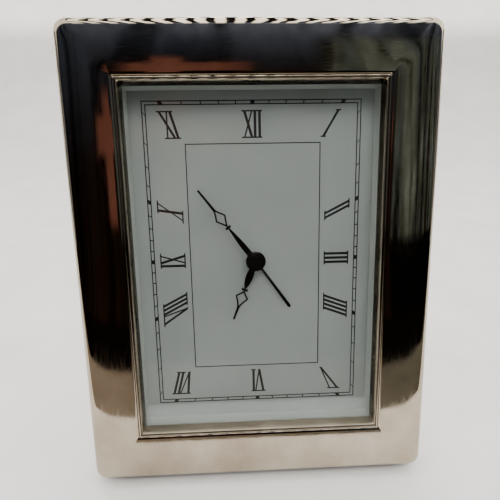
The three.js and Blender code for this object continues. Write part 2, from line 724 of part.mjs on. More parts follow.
const MINUTE_SHAPE = {
  length: MINUTE_LENGTH,
  leaf: [[0, 1.05], [5, 1.1], [9, 0.95], [12.5, 0.65], [15.1, 0.4]],
  collar: { start: 15.6, end: 16.5, half: 1.1 },
  kite: { base: 16.7, wide: 20.4, half: 2.25, apex: 24.6 },
  line: 0.6,
  needle: 0.5,
};
const HOUR_SHAPE = {
  length: HOUR_LENGTH,
  leaf: [[0, 0.8], [3.5, 1.1], [6.5, 1.4], [9.5, 1.0], [11.2, 0.45]],
  collar: { start: 11.5, end: 12.4, half: 1.2 },
  kite: { base: 12.6, wide: 15.1, half: 2.55, apex: 19.6 },
  line: 0.6,
  needle: 0.5,
};

function alarmHand() {
  const front = handFront(ALARM_HAND_HEIGHT);
  const back = front + HAND_THICKNESS;
  const tip = ALARM_TIP_HALF_WIDTH;
  const outline = mirrored([[0, ALARM_HALF_WIDTH], [ALARM_LENGTH - tip, tip], [ALARM_LENGTH, tip / 2]]);
  const body = join(slab(outline, front, back), rod(HUB_RADIUS, front, back));
  return cut(body, rod(alarmTubeRadius + RUNNING, front - GAP, back + GAP));
}

const capRear = handFront(MINUTE_HAND_HEIGHT) - GAP;

function handCap() {
  const front = capRear - CAP_HEIGHT;
  const outline = [
    [0, front - NUB_HEIGHT],
    [NUB_RADIUS, front - NUB_HEIGHT],
    [NUB_RADIUS, front],
    [CAP_RADIUS - CAP_HEIGHT / 2, front],
    [CAP_RADIUS, front + CAP_HEIGHT / 2],
    [CAP_RADIUS, capRear],
    [0, capRear],
  ];
  const seat = rod(clearance(HAND_SEAT_RADIUS), front + GAP, capRear + GAP, [0, 0], SMALL_ROUND);
  return cut(turned(outline, LARGE_ROUND), seat);
}

// Wheels

// A toothed disc; phase is the direction of one tooth's middle, in radians
function gear(teeth, module, phase, { front, rear }) {
  const pitch = (2 * Math.PI) / teeth;
  const root = module * (teeth / 2 - DEDENDUM);
  const tip = module * (teeth / 2 + ADDENDUM);
  const profile = [[-ROOT_SHARE, root], [-TIP_SHARE, tip], [TIP_SHARE, tip], [ROOT_SHARE, root]];
  const points = [];
  for (let tooth = 0; tooth < teeth; tooth += 1) {
    for (const [share, radius] of profile) {
      const angle = phase + (tooth + share) * pitch;
      points.push([radius * Math.cos(angle), radius * Math.sin(angle)]);
    }
  }
  return slab(polygon(points), front, rear);
}

const moduleFor = (distance, first, second) => (2 * distance) / (first + second);

// The tooth direction of a pinion that meshes with a wheel of a known tooth direction
function meshPhase(direction, wheelTeeth, wheelPhase, pinionTeeth) {
  const contact = radians(direction);
  return contact + Math.PI + ((contact - wheelPhase) * wheelTeeth) / pinionTeeth + Math.PI / pinionTeeth;
}

const motionModule = moduleFor(motionDistance, CANNON_TEETH, MOTION_TEETH);
const hourModule = moduleFor(motionDistance, HOUR_TEETH, MOTION_PINION_TEETH);
const alarmModule = moduleFor(alarmDistance, ALARM_TEETH, ALARM_PINION_TEETH);
const timeModule = motionModule;
const centreModule = moduleFor(thirdDistance, CENTRE_TEETH, THIRD_PINION_TEETH);
const thirdModule = moduleFor(thirdDistance, THIRD_TEETH, SECONDS_PINION_TEETH);
const secondsModule = moduleFor(intermediateDistance, SECONDS_TEETH, INTERMEDIATE_PINION_TEETH);
const rotorModule = moduleFor(rotorDistance, INTERMEDIATE_TEETH, ROTOR_TEETH);

const motionPhase = meshPhase(MOTION_DIRECTION, CANNON_TEETH, radians(MOTION_DIRECTION), MOTION_TEETH);
function minuteArbor() {
  const seat = handFront(MINUTE_HAND_HEIGHT) + HAND_THICKNESS + GAP;
  const end = centreLayer.rear + wheelGap / 2;
  return join(
    rod(HAND_SEAT_RADIUS, capRear - CAP_HEIGHT / 2, seat, [0, 0], SMALL_ROUND),
    rod(MINUTE_ARBOR_RADIUS, seat, end, [0, 0], MEDIUM_ROUND),
    gear(CANNON_TEETH, motionModule, radians(MOTION_DIRECTION), motionLayer),
  );
}

function hourWheel() {
  const tubeFront = handFront(HOUR_HAND_HEIGHT);
  const body = join(
    gear(HOUR_TEETH, hourModule, radians(MOTION_DIRECTION), hourLayer),
    rod(hourTubeRadius, tubeFront, hourLayer.rear),
  );
  return cut(body, rod(minuteTubeGap, tubeFront - GAP, hourLayer.rear + GAP));
}

function alarmWheel() {
  const tubeFront = handFront(ALARM_HAND_HEIGHT);
  const body = join(
    gear(ALARM_TEETH, alarmModule, radians(ALARM_DIRECTION), alarmLayer),
    rod(alarmTubeRadius, tubeFront, alarmLayer.rear),
  );
  return cut(body, rod(clearance(hourTubeRadius), tubeFront - GAP, alarmLayer.rear + GAP));
}

function motionWheel() {
  const direction = MOTION_DIRECTION;
  const pinionPhase = meshPhase(direction, HOUR_TEETH, radians(direction), MOTION_PINION_TEETH);
  const pinion = { front: hourLayer.front, rear: motionLayer.front };
  const body = join(
    gear(MOTION_TEETH, motionModule, motionPhase, motionLayer),
    gear(MOTION_PINION_TEETH, hourModule, pinionPhase, pinion),
  );
  const bore = through(clearance(PIVOT_RADIUS), hourLayer.front, motionLayer.rear, [0, 0], SMALL_ROUND);
  return cut(body, bore);
}

function centreWheel() {
  const wheel = gear(CENTRE_TEETH, centreModule, radians(THIRD_DIRECTION), centreLayer);
  return cut(wheel, through(clearance(MINUTE_ARBOR_RADIUS), centreLayer.front, centreLayer.rear));
}

// The thin arbor that runs from a depth to the train bridge
const trainArbor = (front) => rod(ARBOR_RADIUS, front, bridgeLayer.rear, [0, 0], FINE_ROUND);

function thirdWheel() {
  const direction = THIRD_DIRECTION;
  const pinionPhase = meshPhase(direction, CENTRE_TEETH, radians(direction), THIRD_PINION_TEETH);
  const wheelPhase = meshPhase(direction, SECONDS_PINION_TEETH, radians(direction), THIRD_TEETH);
  const pinion = { front: centreLayer.front, rear: thirdLayer.front };
  return join(
    gear(THIRD_TEETH, thirdModule, wheelPhase, thirdLayer),
    gear(THIRD_PINION_TEETH, centreModule, pinionPhase, pinion),
    trainArbor(middleLayer.front),
  );
}

function secondsWheel() {
  const pinion = { front: thirdLayer.front - wheelGap / 4, rear: secondsLayer.front };
  return join(
    gear(SECONDS_TEETH, secondsModule, radians(INTERMEDIATE_DIRECTION), secondsLayer),
    gear(SECONDS_PINION_TEETH, thirdModule, radians(THIRD_DIRECTION), pinion),
    trainArbor(pinion.front),
  );
}

const intermediateWheelPhase = radians(ROTOR_DIRECTION);

function intermediateWheel() {
  const direction = INTERMEDIATE_DIRECTION;
  const pinionPhase = meshPhase(direction, SECONDS_TEETH, radians(direction), INTERMEDIATE_PINION_TEETH);
  const pinion = { front: secondsLayer.front, rear: intermediateLayer.front };
  return join(
    gear(INTERMEDIATE_TEETH, rotorModule, intermediateWheelPhase, intermediateLayer),
    gear(INTERMEDIATE_PINION_TEETH, secondsModule, pinionPhase, pinion),
    trainArbor(middleLayer.front),
  );
}

function rotor() {
  const phase = meshPhase(ROTOR_DIRECTION, INTERMEDIATE_TEETH, intermediateWheelPhase, ROTOR_TEETH);
  const magnetFront = (statorLayer.front + statorLayer.rear - MAGNET_LENGTH) / 2 + GAP;
  return join(
    rod(MAGNET_RADIUS, magnetFront, magnetFront + MAGNET_LENGTH),
    gear(ROTOR_TEETH, rotorModule, phase, intermediateLayer),
    trainArbor(middleLayer.front),
  );
}

// A setting knob's shaft with its pinion and its fluted grip behind the case
function settingKnob(teeth, module, phase, pinionLayer) {
  const knobFront = caseDepth + KNOB_STAND_OFF;
  const points = [];
  for (let step = 0; step < 2 * KNOB_FLUTES; step += 1) {
    const radius = KNOB_RADIUS - (step % 2) * FLUTE_DEPTH;
    const angle = (Math.PI * step) / KNOB_FLUTES;
    points.push([radius * Math.cos(angle), radius * Math.sin(angle)]);
  }
  return join(
    gear(teeth, module, phase, pinionLayer),
    rod(PIVOT_RADIUS, FRONT_PLATE - PIVOT_SINK, pinionLayer.front + GAP, [0, 0], SMALL_ROUND),
    rod(SHAFT_RADIUS, pinionLayer.front, knobFront + GAP, [0, 0], MEDIUM_ROUND),
    slab(polygon(points), knobFront, knobFront + KNOB_THICKNESS),
  );
}

function timeKnob() {
  const phase = meshPhase(TIME_DIRECTION, MOTION_TEETH, motionPhase, TIME_PINION_TEETH);
  return settingKnob(TIME_PINION_TEETH, timeModule, phase, motionLayer);
}

function alarmKnob() {
  const phase = meshPhase(ALARM_DIRECTION, ALARM_TEETH, radians(ALARM_DIRECTION), ALARM_PINION_TEETH);
  return settingKnob(ALARM_PINION_TEETH, alarmModule, phase, alarmLayer);
}

// Movement case

const batteryDepth = FRONT_PLATE + GAP + batteryRadius;
const batteryHeight = -caseInside + GAP + batteryRadius;
const batteryTop = batteryHeight + batteryRadius;
const ribBottom = batteryTop + GAP;
const doorWidth = CASE_SIZE - 2 * DOOR_MARGIN;
const switchPlace = [rotorPlace[0] - SWITCH_SHIFT, caseInside - BOSS_RADIUS - SWITCH_SLOT_WIDTH];
const buzzerPlace = BUZZER_SHIFT.map((shift) => CASE_SIZE / 4 + shift);

function bossPlaces() {
  const side = caseInside - BOSS_CORNER + CASE_WALL;
  const lower = ribBottom + RIB + LOWER_BOSS_GAP + BOSS_RADIUS;
  return [[-side, side], [side, side], [-side, lower], [side, lower]];
}

function caseShell(front, rear, hollowFront, hollowRear) {
  const outer = roundedRectangle(CASE_SIZE, CASE_SIZE, CASE_CORNER);
  const inner = roundedRectangle(2 * caseInside, 2 * caseInside, CASE_CORNER - CASE_WALL);
  const shell = cut(slab(outer, front, rear), slab(inner, hollowFront, hollowRear));
  const rib = block(-caseInside - RUNNING, caseInside + RUNNING, front, rear, ribBottom, ribBottom + RIB);
  const bosses = bossPlaces().map((place) => rod(BOSS_RADIUS, front, rear, place, SMALL_ROUND));
  return join(shell, rib, ...bosses);
}

function frontCase() {
  const earFront = BOARD_THICKNESS + GAP;
  const earRear = earFront + EAR_THICKNESS;
  const wall = CASE_SIZE / 2 - CASE_WALL / 2;
  const ear = block(wall, CASE_SIZE / 2 + EAR_LENGTH, earFront, earRear, -EAR_HEIGHT / 2, EAR_HEIGHT / 2);
  const earHole = EAR_SCREW.shank + SCREW_CLEARANCE;
  const caseHole = CASE_SCREW.shank + SCREW_CLEARANCE;
  return cut(
    join(
      caseShell(0, CASE_FRONT_DEPTH, FRONT_PLATE, CASE_FRONT_DEPTH + OVERSHOOT),
      ear,
      ear.clone().rotateY(Math.PI),
    ),
    through(clearance(alarmTubeRadius), 0, FRONT_PLATE),
    through(clearance(PIVOT_RADIUS), 0, FRONT_PLATE, timePlace, SMALL_ROUND),
    through(clearance(PIVOT_RADIUS), 0, FRONT_PLATE, alarmPlace, SMALL_ROUND),
    ...earPlaces().map((place) => through(earHole, earFront, earRear, place, SMALL_ROUND)),
    ...bossPlaces().map((place) => (
      rod(caseHole, FRONT_PLATE, CASE_FRONT_DEPTH + OVERSHOOT, place, FINE_ROUND)
    )),
  );
}

function earPlaces() {
  const x = CASE_SIZE / 2 + EAR_LENGTH / 2;
  return [[-x, 0], [x, 0]];
}

function soundHoles() {
  const places = [buzzerPlace];
  for (let step = 0; step < SOUND_HOLES; step += 1) {
    places.push(polar(SOUND_RING, (360 / SOUND_HOLES) * step, buzzerPlace));
  }
  return places.map((place) => through(SOUND_HOLE, rearInside, caseDepth, place, FINE_ROUND));
}

function rearCase() {
  const start = CASE_FRONT_DEPTH + GAP;
  const shell = caseShell(start, caseDepth, start - OVERSHOOT, rearInside);
  const half = doorWidth / 2 + GAP;
  const [slotX, slotZ] = switchPlace;
  const past = caseDepth + OVERSHOOT;
  const caseHole = CASE_SCREW.shank + SCREW_CLEARANCE;
  return cut(
    shell,
    block(-half, half, rearInside, past, -CASE_SIZE, ribBottom - GAP),
    block(
      slotX - SWITCH_SLOT_LENGTH / 2, slotX + SWITCH_SLOT_LENGTH / 2, rearInside - OVERSHOOT, past,
      slotZ - SWITCH_SLOT_WIDTH / 2, slotZ + SWITCH_SLOT_WIDTH / 2,
    ),
    through(clearance(SHAFT_RADIUS), rearInside, caseDepth, timePlace),
    through(clearance(SHAFT_RADIUS), rearInside, caseDepth, alarmPlace),
    ...soundHoles(),
    ...bossPlaces().map((place) => through(caseHole, start, caseDepth, place, FINE_ROUND)),
  );
}

function batteryDoor() {
  const front = rearInside + RUNNING;
  const bottom = -CASE_SIZE / 2;
  const plate = block(-doorWidth / 2, doorWidth / 2, front, caseDepth, bottom, ribBottom - 2 * GAP);
  const half = DOOR_RIDGE_WIDTH / 2;
  const ridge = block(-KNOB_RADIUS, KNOB_RADIUS, caseDepth - GAP, caseDepth + DOOR_RIDGE, -half, half);
  const middle = (bottom + ribBottom) / 2;
  const heights = [-1, 0, 1].map((order) => middle + order * DOOR_RIDGE_SPACING);
  const ridges = heights.map((height) => ridge.clone().translate(0, 0, height));
  return join(plate, ...ridges);
}

// Plates that carry the wheels

function middlePlate() {
  const side = bossPlaces()[1][0] - BOSS_RADIUS - GAP;
  const bottom = ribBottom + RIB + GAP;
  const top = rotorPlace[1] + MAGNET_RADIUS + STATOR_GAP + STATOR_BAND;
  const shape = polygon([[-side, bottom], [side, bottom], [side, top], [-side, top]]);
  shape.holes.push(
    circle(0, 0, clearance(MINUTE_ARBOR_RADIUS)),
    circle(...thirdPlace, clearance(ARBOR_RADIUS)),
    circle(...intermediatePlace, clearance(ARBOR_RADIUS)),
    circle(...rotorPlace, clearance(ARBOR_RADIUS)),
    circle(...alarmPlace, clearance(SHAFT_RADIUS)),
    circle(...timePlace, clearance(SHAFT_RADIUS)),
  );
  const post = rod(PIVOT_RADIUS, hourLayer.front, middleLayer.front + GAP, motionPlace, SMALL_ROUND);
  return join(slab(shape, middleLayer.front, middleLayer.rear, 6), post);
}

function trainBridge() {
  const pad = 2 * POST_RADIUS;
  const left = rotorPlace[0] - MAGNET_RADIUS - STATOR_BAND - pad;
  const right = thirdPlace[0] + 2 * pad;
  const bottom = ribBottom + RIB + pad;
  const top = rotorPlace[1] + pad;
  const shape = polygon([
    [left, 0], [left + 3 * pad, bottom], [right, bottom], [right, thirdPlace[1] + pad],
    [0, top], [left, top],
  ]);
  shape.holes.push(
    circle(0, 0, clearance(ARBOR_RADIUS)),
    circle(...thirdPlace, clearance(ARBOR_RADIUS)),
    circle(...intermediatePlace, clearance(ARBOR_RADIUS)),
    circle(...rotorPlace, clearance(ARBOR_RADIUS)),
    circle(...alarmPlace, clearance(SHAFT_RADIUS)),
  );
  const edge = POST_RADIUS + GAP;
  const posts = [
    [left + edge, POST_RADIUS],
    [alarmPlace[0] + POST_RADIUS, bottom + edge + GAP],
    [right - edge, bottom + edge],
  ].map((place) => rod(POST_RADIUS, middleLayer.rear + GAP, bridgeLayer.rear, place, SMALL_ROUND));
  return join(slab(shape, bridgeLayer.front, bridgeLayer.rear, 6), ...posts);
}

// Stepping motor

const coilMiddle = rotorPlace[0] + LEG_WIDTH;
const coilHeight = rotorPlace[1] + COIL_RISE;
const coilDepth = statorLayer.rear + GAP + CORE_THICKNESS / 2;
const bobbinHalf = COIL_LENGTH / 2 + FLANGE_THICKNESS;
const legInside = bobbinHalf + GAP;

function stator() {
  const [x, z] = rotorPlace;
  const ring = MAGNET_RADIUS + STATOR_GAP + STATOR_BAND;
  const left = coilMiddle - legInside - LEG_WIDTH;
  const right = coilMiddle + legInside + LEG_WIDTH;
  const top = coilHeight + CORE_HEIGHT;
  const yoke = z + ring + STATOR_THICKNESS;
  const shape = polygon([
    [left, z - ring / 2], [x - ring / 2, z - ring], [x + ring / 2, z - ring], [x + ring, z],
    [right, z + ring], [right, top], [right - LEG_WIDTH, top], [right - LEG_WIDTH, yoke],
    [left + LEG_WIDTH, yoke], [left + LEG_WIDTH, top], [left, top],
  ]);
  shape.holes.push(circle(x, z, MAGNET_RADIUS + STATOR_GAP));
  return slab(shape, statorLayer.front, statorLayer.rear, 10);
}

function coilCore() {
  const reach = legInside + LEG_WIDTH;
  return block(
    coilMiddle - reach, coilMiddle + reach, coilDepth - CORE_THICKNESS / 2, coilDepth + CORE_THICKNESS / 2,
    coilHeight - CORE_HEIGHT / 2, coilHeight + CORE_HEIGHT / 2,
  );
}

function coilBobbin() {
  const half = COIL_LENGTH / 2;
  const body = join(
    crossRod(BOBBIN_RADIUS, -half - FLANGE_THICKNESS / 2, half + FLANGE_THICKNESS / 2, 0, 0, SMALL_ROUND),
    crossRod(FLANGE_RADIUS, -bobbinHalf, -half, 0, 0, MEDIUM_ROUND),
    crossRod(FLANGE_RADIUS, half, bobbinHalf, 0, 0, MEDIUM_ROUND),
  );
  const past = bobbinHalf + OVERSHOOT;
  const deep = clearance(CORE_THICKNESS / 2);
  const high = clearance(CORE_HEIGHT / 2);
  const bore = block(-past, past, -deep, deep, -high, high);
  return cut(body, bore);
}

function coilWinding() {
  const half = COIL_LENGTH / 2 - RUNNING;
  return cut(
    crossRod(COIL_RADIUS, -half, half, 0, 0, MEDIUM_ROUND),
    crossRod(clearance(BOBBIN_RADIUS), -half - OVERSHOOT, half + OVERSHOOT, 0, 0, MEDIUM_ROUND),
  );
}

// Battery and electrical pieces

function battery() {
  const half = batteryLength / 2;
  const nub = crossRod(BATTERY_NUB_RADIUS, -half - BATTERY_NUB_LENGTH, -half + GAP, 0, 0, SMALL_ROUND);
  return join(crossRod(batteryRadius, -half, half, 0, 0, LARGE_ROUND), nub);
}

function flatContact() {
  const left = -caseInside + GAP;
  return block(
    left, left + CONTACT_THICKNESS, batteryDepth - CONTACT_WIDTH / 2, batteryDepth + CONTACT_WIDTH / 2,
    batteryHeight - CONTACT_WIDTH / 2, batteryHeight + CONTACT_WIDTH / 2,
  );
}

// A leaf bent out from the end wall towards the battery
function springContact() {
  const wall = caseInside - GAP;
  const half = CONTACT_WIDTH / 2;
  const inner = wall - CONTACT_THICKNESS;
  const bulge = inner - CONTACT_SPRING;
  const outline = polygon([
    [wall, batteryHeight - half], [wall, batteryHeight + half], [inner, batteryHeight + half],
    [bulge, batteryHeight], [inner, batteryHeight - half],
  ]);
  const hollow = polygon([
    [inner, batteryHeight - half / 2], [inner, batteryHeight + half / 2],
    [bulge + CONTACT_THICKNESS, batteryHeight],
  ]);
  outline.holes.push(hollow);
  return slab(outline, batteryDepth - half / 2, batteryDepth + half / 2);
}

const circuitRear = buzzerFront - CIRCUIT_ROOM;
const circuitLeft = buzzerPlace[0] - CIRCUIT_WIDTH / 2;
const circuitTop = caseInside - 2 * GAP;

function circuitBoard() {
  return block(
    circuitLeft, circuitLeft + CIRCUIT_WIDTH, circuitRear - CIRCUIT_THICKNESS, circuitRear,
    circuitTop - CIRCUIT_HEIGHT, circuitTop,
  );
}

function chip() {
  const rear = circuitRear - CIRCUIT_THICKNESS - RUNNING;
  return turned([
    [0, rear - CHIP_HEIGHT],
    [CHIP_RADIUS * CHIP_TOP, rear - CHIP_EDGE],
    [CHIP_RADIUS, rear],
    [0, rear],
  ], SMALL_ROUND);
}

function crystal() {
  const depth = circuitRear - CIRCUIT_THICKNESS - RUNNING - CRYSTAL_RADIUS;
  return crossRod(CRYSTAL_RADIUS, -CRYSTAL_LENGTH / 2, CRYSTAL_LENGTH / 2, depth, 0, SMALL_ROUND);
}

function buzzer() {
  return rod(BUZZER_RADIUS, buzzerFront, rearInside - GAP, buzzerPlace);
}

// Its slider inside the case, stem through the slot and button behind, drawn at the slot's left end
function alarmSwitch() {
  const stem = SWITCH_SLOT_WIDTH - 2 * GAP;
  const half = SWITCH_BUTTON / 2;
  const inside = rearInside - GAP;
  const outside = caseDepth + GAP;
  return join(
    block(-half, half, inside - PLATE_THICKNESS, inside, -half, half),
    block(-stem / 2, stem / 2, inside - GAP, outside + GAP, -stem / 2, stem / 2),
    block(-half, half, outside, outside + SWITCH_HEIGHT, -half, half),
  );
}

// Back board, strut and hinge

function backBoard() {
  const width = FRAME_WIDTH - 2 * boardInset;
  const height = FRAME_HEIGHT - 2 * boardInset;
  const shape = roundedRectangle(width, height, CORNER_RADIUS - boardInset, frameCentre);
  const opening = CASE_SIZE + 2 * CUTOUT_GAP;
  shape.holes.push(roundedRectangle(opening, opening, CASE_CORNER, dialCentre));
  const pilot = (place, { shank }) => (
    through(shank + SCREW_CLEARANCE, boardFront, boardRear, place, SMALL_ROUND)
  );
  return cut(
    slab(shape, boardFront, boardRear),
    ...boardScrewPlaces().map((place) => pilot(place, BOARD_SCREW)),
    ...earPlaces().map(([x, z]) => pilot([x, z + dialCentre], EAR_SCREW)),
    ...leafScrewPlaces(hingeHeight + leafScrewHeight).map((place) => pilot(place, LEAF_SCREW)),
  );
}

const leafScrewHeight = KNUCKLE_RADIUS + LEAF_HEIGHT / 2 - GAP;
const leafScrewPlaces = (height) => [-HINGE_WIDTH / 3, HINGE_WIDTH / 3].map((x) => [x, height]);

// Hinge pieces have their origin on the hinge's axis, with the strut hanging straight down
const leafRear = KNUCKLE_RADIUS;
const hingeDepth = boardRear + GAP + KNUCKLE_RADIUS;
const strutRear = leafRear - LEAF_THICKNESS - GAP;
const strutFront = strutRear - STRUT_THICKNESS;

function knuckles(ranges) {
  return ranges.map(([left, right]) => crossRod(KNUCKLE_RADIUS, left, right, 0, 0, MEDIUM_ROUND));
}

const pinHole = () => crossRod(clearance(PIN_RADIUS), -HINGE_WIDTH, HINGE_WIDTH, 0, 0, SMALL_ROUND);

function leafScrewHoles(front, rear, height) {
  const radius = LEAF_SCREW.shank + SCREW_CLEARANCE;
  return leafScrewPlaces(height).map((place) => through(radius, front, rear, place, SMALL_ROUND));
}

function fixedLeaf() {
  const half = HINGE_WIDTH / 2;
  const middle = KNUCKLE_LENGTH / 2 + GAP;
  const front = -KNUCKLE_RADIUS;
  const top = KNUCKLE_RADIUS + LEAF_HEIGHT;
  const rear = front + LEAF_THICKNESS;
  const leaf = block(-half, half, front, rear, KNUCKLE_RADIUS, top);
  const ends = [[-half, -middle], [middle, half]];
  const arms = ends.map(([left, right]) => block(left, right, front, rear, 0, KNUCKLE_RADIUS + GAP));
  const holes = leafScrewHoles(front, rear, leafScrewHeight);
  return cut(join(leaf, ...arms, ...knuckles(ends)), pinHole(), ...holes);
}

// The moving leaf carries the stop tab, which meets the fixed leaf when the strut is open
function strutLeaf() {
  const half = HINGE_WIDTH / 2;
  const middle = KNUCKLE_LENGTH / 2;
  const bottom = -KNUCKLE_RADIUS - LEAF_HEIGHT;
  const leaf = block(-half, half, leafRear - LEAF_THICKNESS, leafRear, bottom, -KNUCKLE_RADIUS);
  const arm = block(-middle, middle, leafRear - LEAF_THICKNESS, leafRear, -KNUCKLE_RADIUS - GAP, 0);
  const open = radians(2 * LEAN);
  const tabFront = -KNUCKLE_RADIUS + LEAF_THICKNESS + GAP;
  const tab = block(-middle, middle, tabFront, tabFront + LEAF_THICKNESS, KNUCKLE_RADIUS / 2, STOP_HEIGHT);
  const holes = leafScrewHoles(leafRear - LEAF_THICKNESS, leafRear, -leafScrewHeight);
  const body = join(leaf, arm, ...knuckles([[-middle, middle]]), tab.rotateX(-open));
  return cut(body, pinHole(), ...holes);
}

// Height of the table in the closed strut's own frame, at a depth there
function tableInStrut(depth) {
  const open = radians(2 * LEAN);
  const slope = Math.tan(radians(LEAN));
  const reach = hingeDepth - FRAME_DEPTH + depth * Math.cos(open);
  const drop = reach * slope - hingeHeight - depth * Math.sin(open);
  return drop / (Math.cos(open) + Math.sin(open) * slope);
}

function strutBoard() {
  const top = -KNUCKLE_RADIUS - STRUT_TOP_GAP;
  const foot = tableInStrut(0);
  const side = sideSlab([
    [strutFront, top],
    [strutFront, tableInStrut(strutFront)],
    [strutRear, tableInStrut(strutRear)],
    [strutRear, top],
  ], -STRUT_FOOT_WIDTH, STRUT_FOOT_WIDTH);
  const above = top + OVERSHOOT;
  const below = foot - STRUT_THICKNESS;
  const front = polygon([
    [-STRUT_TOP_WIDTH / 2, above], [-STRUT_FOOT_WIDTH / 2, foot / 2], [-STRUT_FOOT_WIDTH / 2, below],
    [STRUT_FOOT_WIDTH / 2, below], [STRUT_FOOT_WIDTH / 2, foot / 2], [STRUT_TOP_WIDTH / 2, above],
  ]);
  const board = common(side, slab(front, strutFront - OVERSHOOT, strutRear + OVERSHOOT));
  return cut(board, ...leafScrewHoles(strutFront, strutRear, -leafScrewHeight));
}

// Assembly

const clock = new THREE.Group();
const leaned = new THREE.Group();
clock.add(leaned);
leaned.rotation.x = -radians(LEAN);

// Like screws, numbered in the order of their places and seated at one depth
function addScrews(group, name, size, depth, places) {
  places.forEach(([x, z], order) => {
    group.add(at(mesh(`${name}_screw_${order + 1}`, screw(size), finishes.brass), x, depth, z));
  });
}

leaned.add(
  mesh('silver_frame', silverFrame(), finishes.silver),
  mesh('wood_former', woodFormer(), finishes.wood),
  mesh('window_glass', slab(insetRectangle(glassInset), glassFront, glassRear), finishes.glass),
  mesh('spacer_frame', spacerFrame(), finishes.card),
  mesh('dial_plate', dialPlate(), finishes.dial),
  mesh('back_board', backBoard(), finishes.wood),
);
addScrews(leaned, 'board', BOARD_SCREW, boardRear + GAP, boardScrewPlaces());

const movement = new THREE.Group();
movement.position.set(0, boardFront, dialCentre);
leaned.add(movement);

const minuteHand = mesh(
  'minute_hand',
  kiteHand(MINUTE_SHAPE, MINUTE_HAND_HEIGHT, HUB_RADIUS, clearance(HAND_SEAT_RADIUS)),
  finishes.black,
);
const hourHand = mesh(
  'hour_hand',
  kiteHand(HOUR_SHAPE, HOUR_HAND_HEIGHT, HUB_RADIUS, clearance(hourTubeRadius)),
  finishes.black,
);
const alarmPointer = mesh('alarm_hand', alarmHand(), finishes.black);
minuteHand.rotation.y = radians(MINUTE_ANGLE);
hourHand.rotation.y = radians(HOUR_ANGLE);
alarmPointer.rotation.y = radians(ALARM_ANGLE);

const onArbor = (name, geometry, finish, [x, z]) => at(mesh(name, geometry, finish), x, 0, z);
const earScrewDepth = BOARD_THICKNESS + GAP + EAR_THICKNESS + GAP;
const chipPlace = [circuitLeft + CIRCUIT_WIDTH / 2, circuitTop - CIRCUIT_HEIGHT / 2];
const crystalPlace = [circuitLeft + CIRCUIT_WIDTH / 2, circuitTop - 2 * CRYSTAL_RADIUS];
const batteryOffset = -caseInside + 2 * GAP + CONTACT_THICKNESS + BATTERY_NUB_LENGTH + batteryLength / 2;
const switchStart = [switchPlace[0] - SWITCH_TRAVEL / 2, switchPlace[1]];
movement.add(
  minuteHand,
  hourHand,
  alarmPointer,
  mesh('hand_cap', handCap(), finishes.black),
  mesh('movement_front_case', frontCase(), finishes.plastic),
  mesh('movement_rear_case', rearCase(), finishes.plastic),
  mesh('middle_plate', middlePlate(), finishes.nylon),
  mesh('train_bridge', trainBridge(), finishes.nylon),
  mesh('minute_arbor', minuteArbor(), finishes.brass),
  mesh('hour_wheel', hourWheel(), finishes.nylon),
  mesh('alarm_wheel', alarmWheel(), finishes.nylon),
  onArbor('motion_wheel', motionWheel(), finishes.nylon, motionPlace),
  mesh('centre_wheel', centreWheel(), finishes.brass),
  onArbor('third_wheel', thirdWheel(), finishes.nylon, thirdPlace),
  mesh('seconds_wheel', secondsWheel(), finishes.nylon),
  onArbor('intermediate_wheel', intermediateWheel(), finishes.nylon, intermediatePlace),
  onArbor('rotor', rotor(), finishes.steel, rotorPlace),
  mesh('stator', stator(), finishes.steel),
  at(mesh('coil_winding', coilWinding(), finishes.copper), coilMiddle, coilDepth, coilHeight),
  at(mesh('coil_bobbin', coilBobbin(), finishes.nylon), coilMiddle, coilDepth, coilHeight),
  mesh('coil_core', coilCore(), finishes.steel),
  onArbor('time_knob', timeKnob(), finishes.plastic, timePlace),
  onArbor('alarm_knob', alarmKnob(), finishes.plastic, alarmPlace),
  at(mesh('battery', battery(), finishes.battery), batteryOffset, batteryDepth, batteryHeight),
  mesh('flat_contact', flatContact(), finishes.brass),
  mesh('spring_contact', springContact(), finishes.brass),
  mesh('battery_door', batteryDoor(), finishes.plastic),
  mesh('circuit_board', circuitBoard(), finishes.green),
  onArbor('chip', chip(), finishes.black, chipPlace),
  onArbor('crystal', crystal(), finishes.steel, crystalPlace),
  mesh('buzzer', buzzer(), finishes.brass),
  onArbor('alarm_switch', alarmSwitch(), finishes.plastic, switchStart),
);
addScrews(movement, 'movement', EAR_SCREW, earScrewDepth, earPlaces());
addScrews(movement, 'case', CASE_SCREW, caseDepth + GAP, bossPlaces());

const hinge = new THREE.Group();
hinge.position.set(0, hingeDepth, hingeHeight);
leaned.add(hinge);
const opened = new THREE.Group();
opened.rotation.x = radians(2 * LEAN);
hinge.add(opened);

const fixedScrewDepth = -KNUCKLE_RADIUS + LEAF_THICKNESS + GAP;
const pinHalf = HINGE_WIDTH / 2 + GAP;
const pin = join(
  crossRod(PIN_RADIUS, -pinHalf, pinHalf, 0, 0, SMALL_ROUND),
  crossRod(PIN_HEAD_RADIUS, -pinHalf - PIN_HEAD, -pinHalf, 0, 0, SMALL_ROUND),
  crossRod(PIN_HEAD_RADIUS, pinHalf, pinHalf + PIN_HEAD, 0, 0, SMALL_ROUND),
);
hinge.add(
  mesh('hinge_fixed_leaf', fixedLeaf(), finishes.brass),
  mesh('hinge_pin', pin, finishes.steel),
);
addScrews(hinge, 'hinge', LEAF_SCREW, fixedScrewDepth, leafScrewPlaces(leafScrewHeight));
opened.add(
  mesh('strut', strutBoard(), finishes.wood),
  mesh('hinge_strut_leaf', strutLeaf(), finishes.brass),
);
addScrews(opened, 'strut', LEAF_SCREW, leafRear + GAP, leafScrewPlaces(-leafScrewHeight));

// The origin is the centre of the box's bottom face
clock.updateMatrixWorld(true);
const box = new THREE.Box3().setFromObject(clock, true);
leaned.position.set(0, -(box.min.y + box.max.y) / 2, -box.min.z);

export default clock;
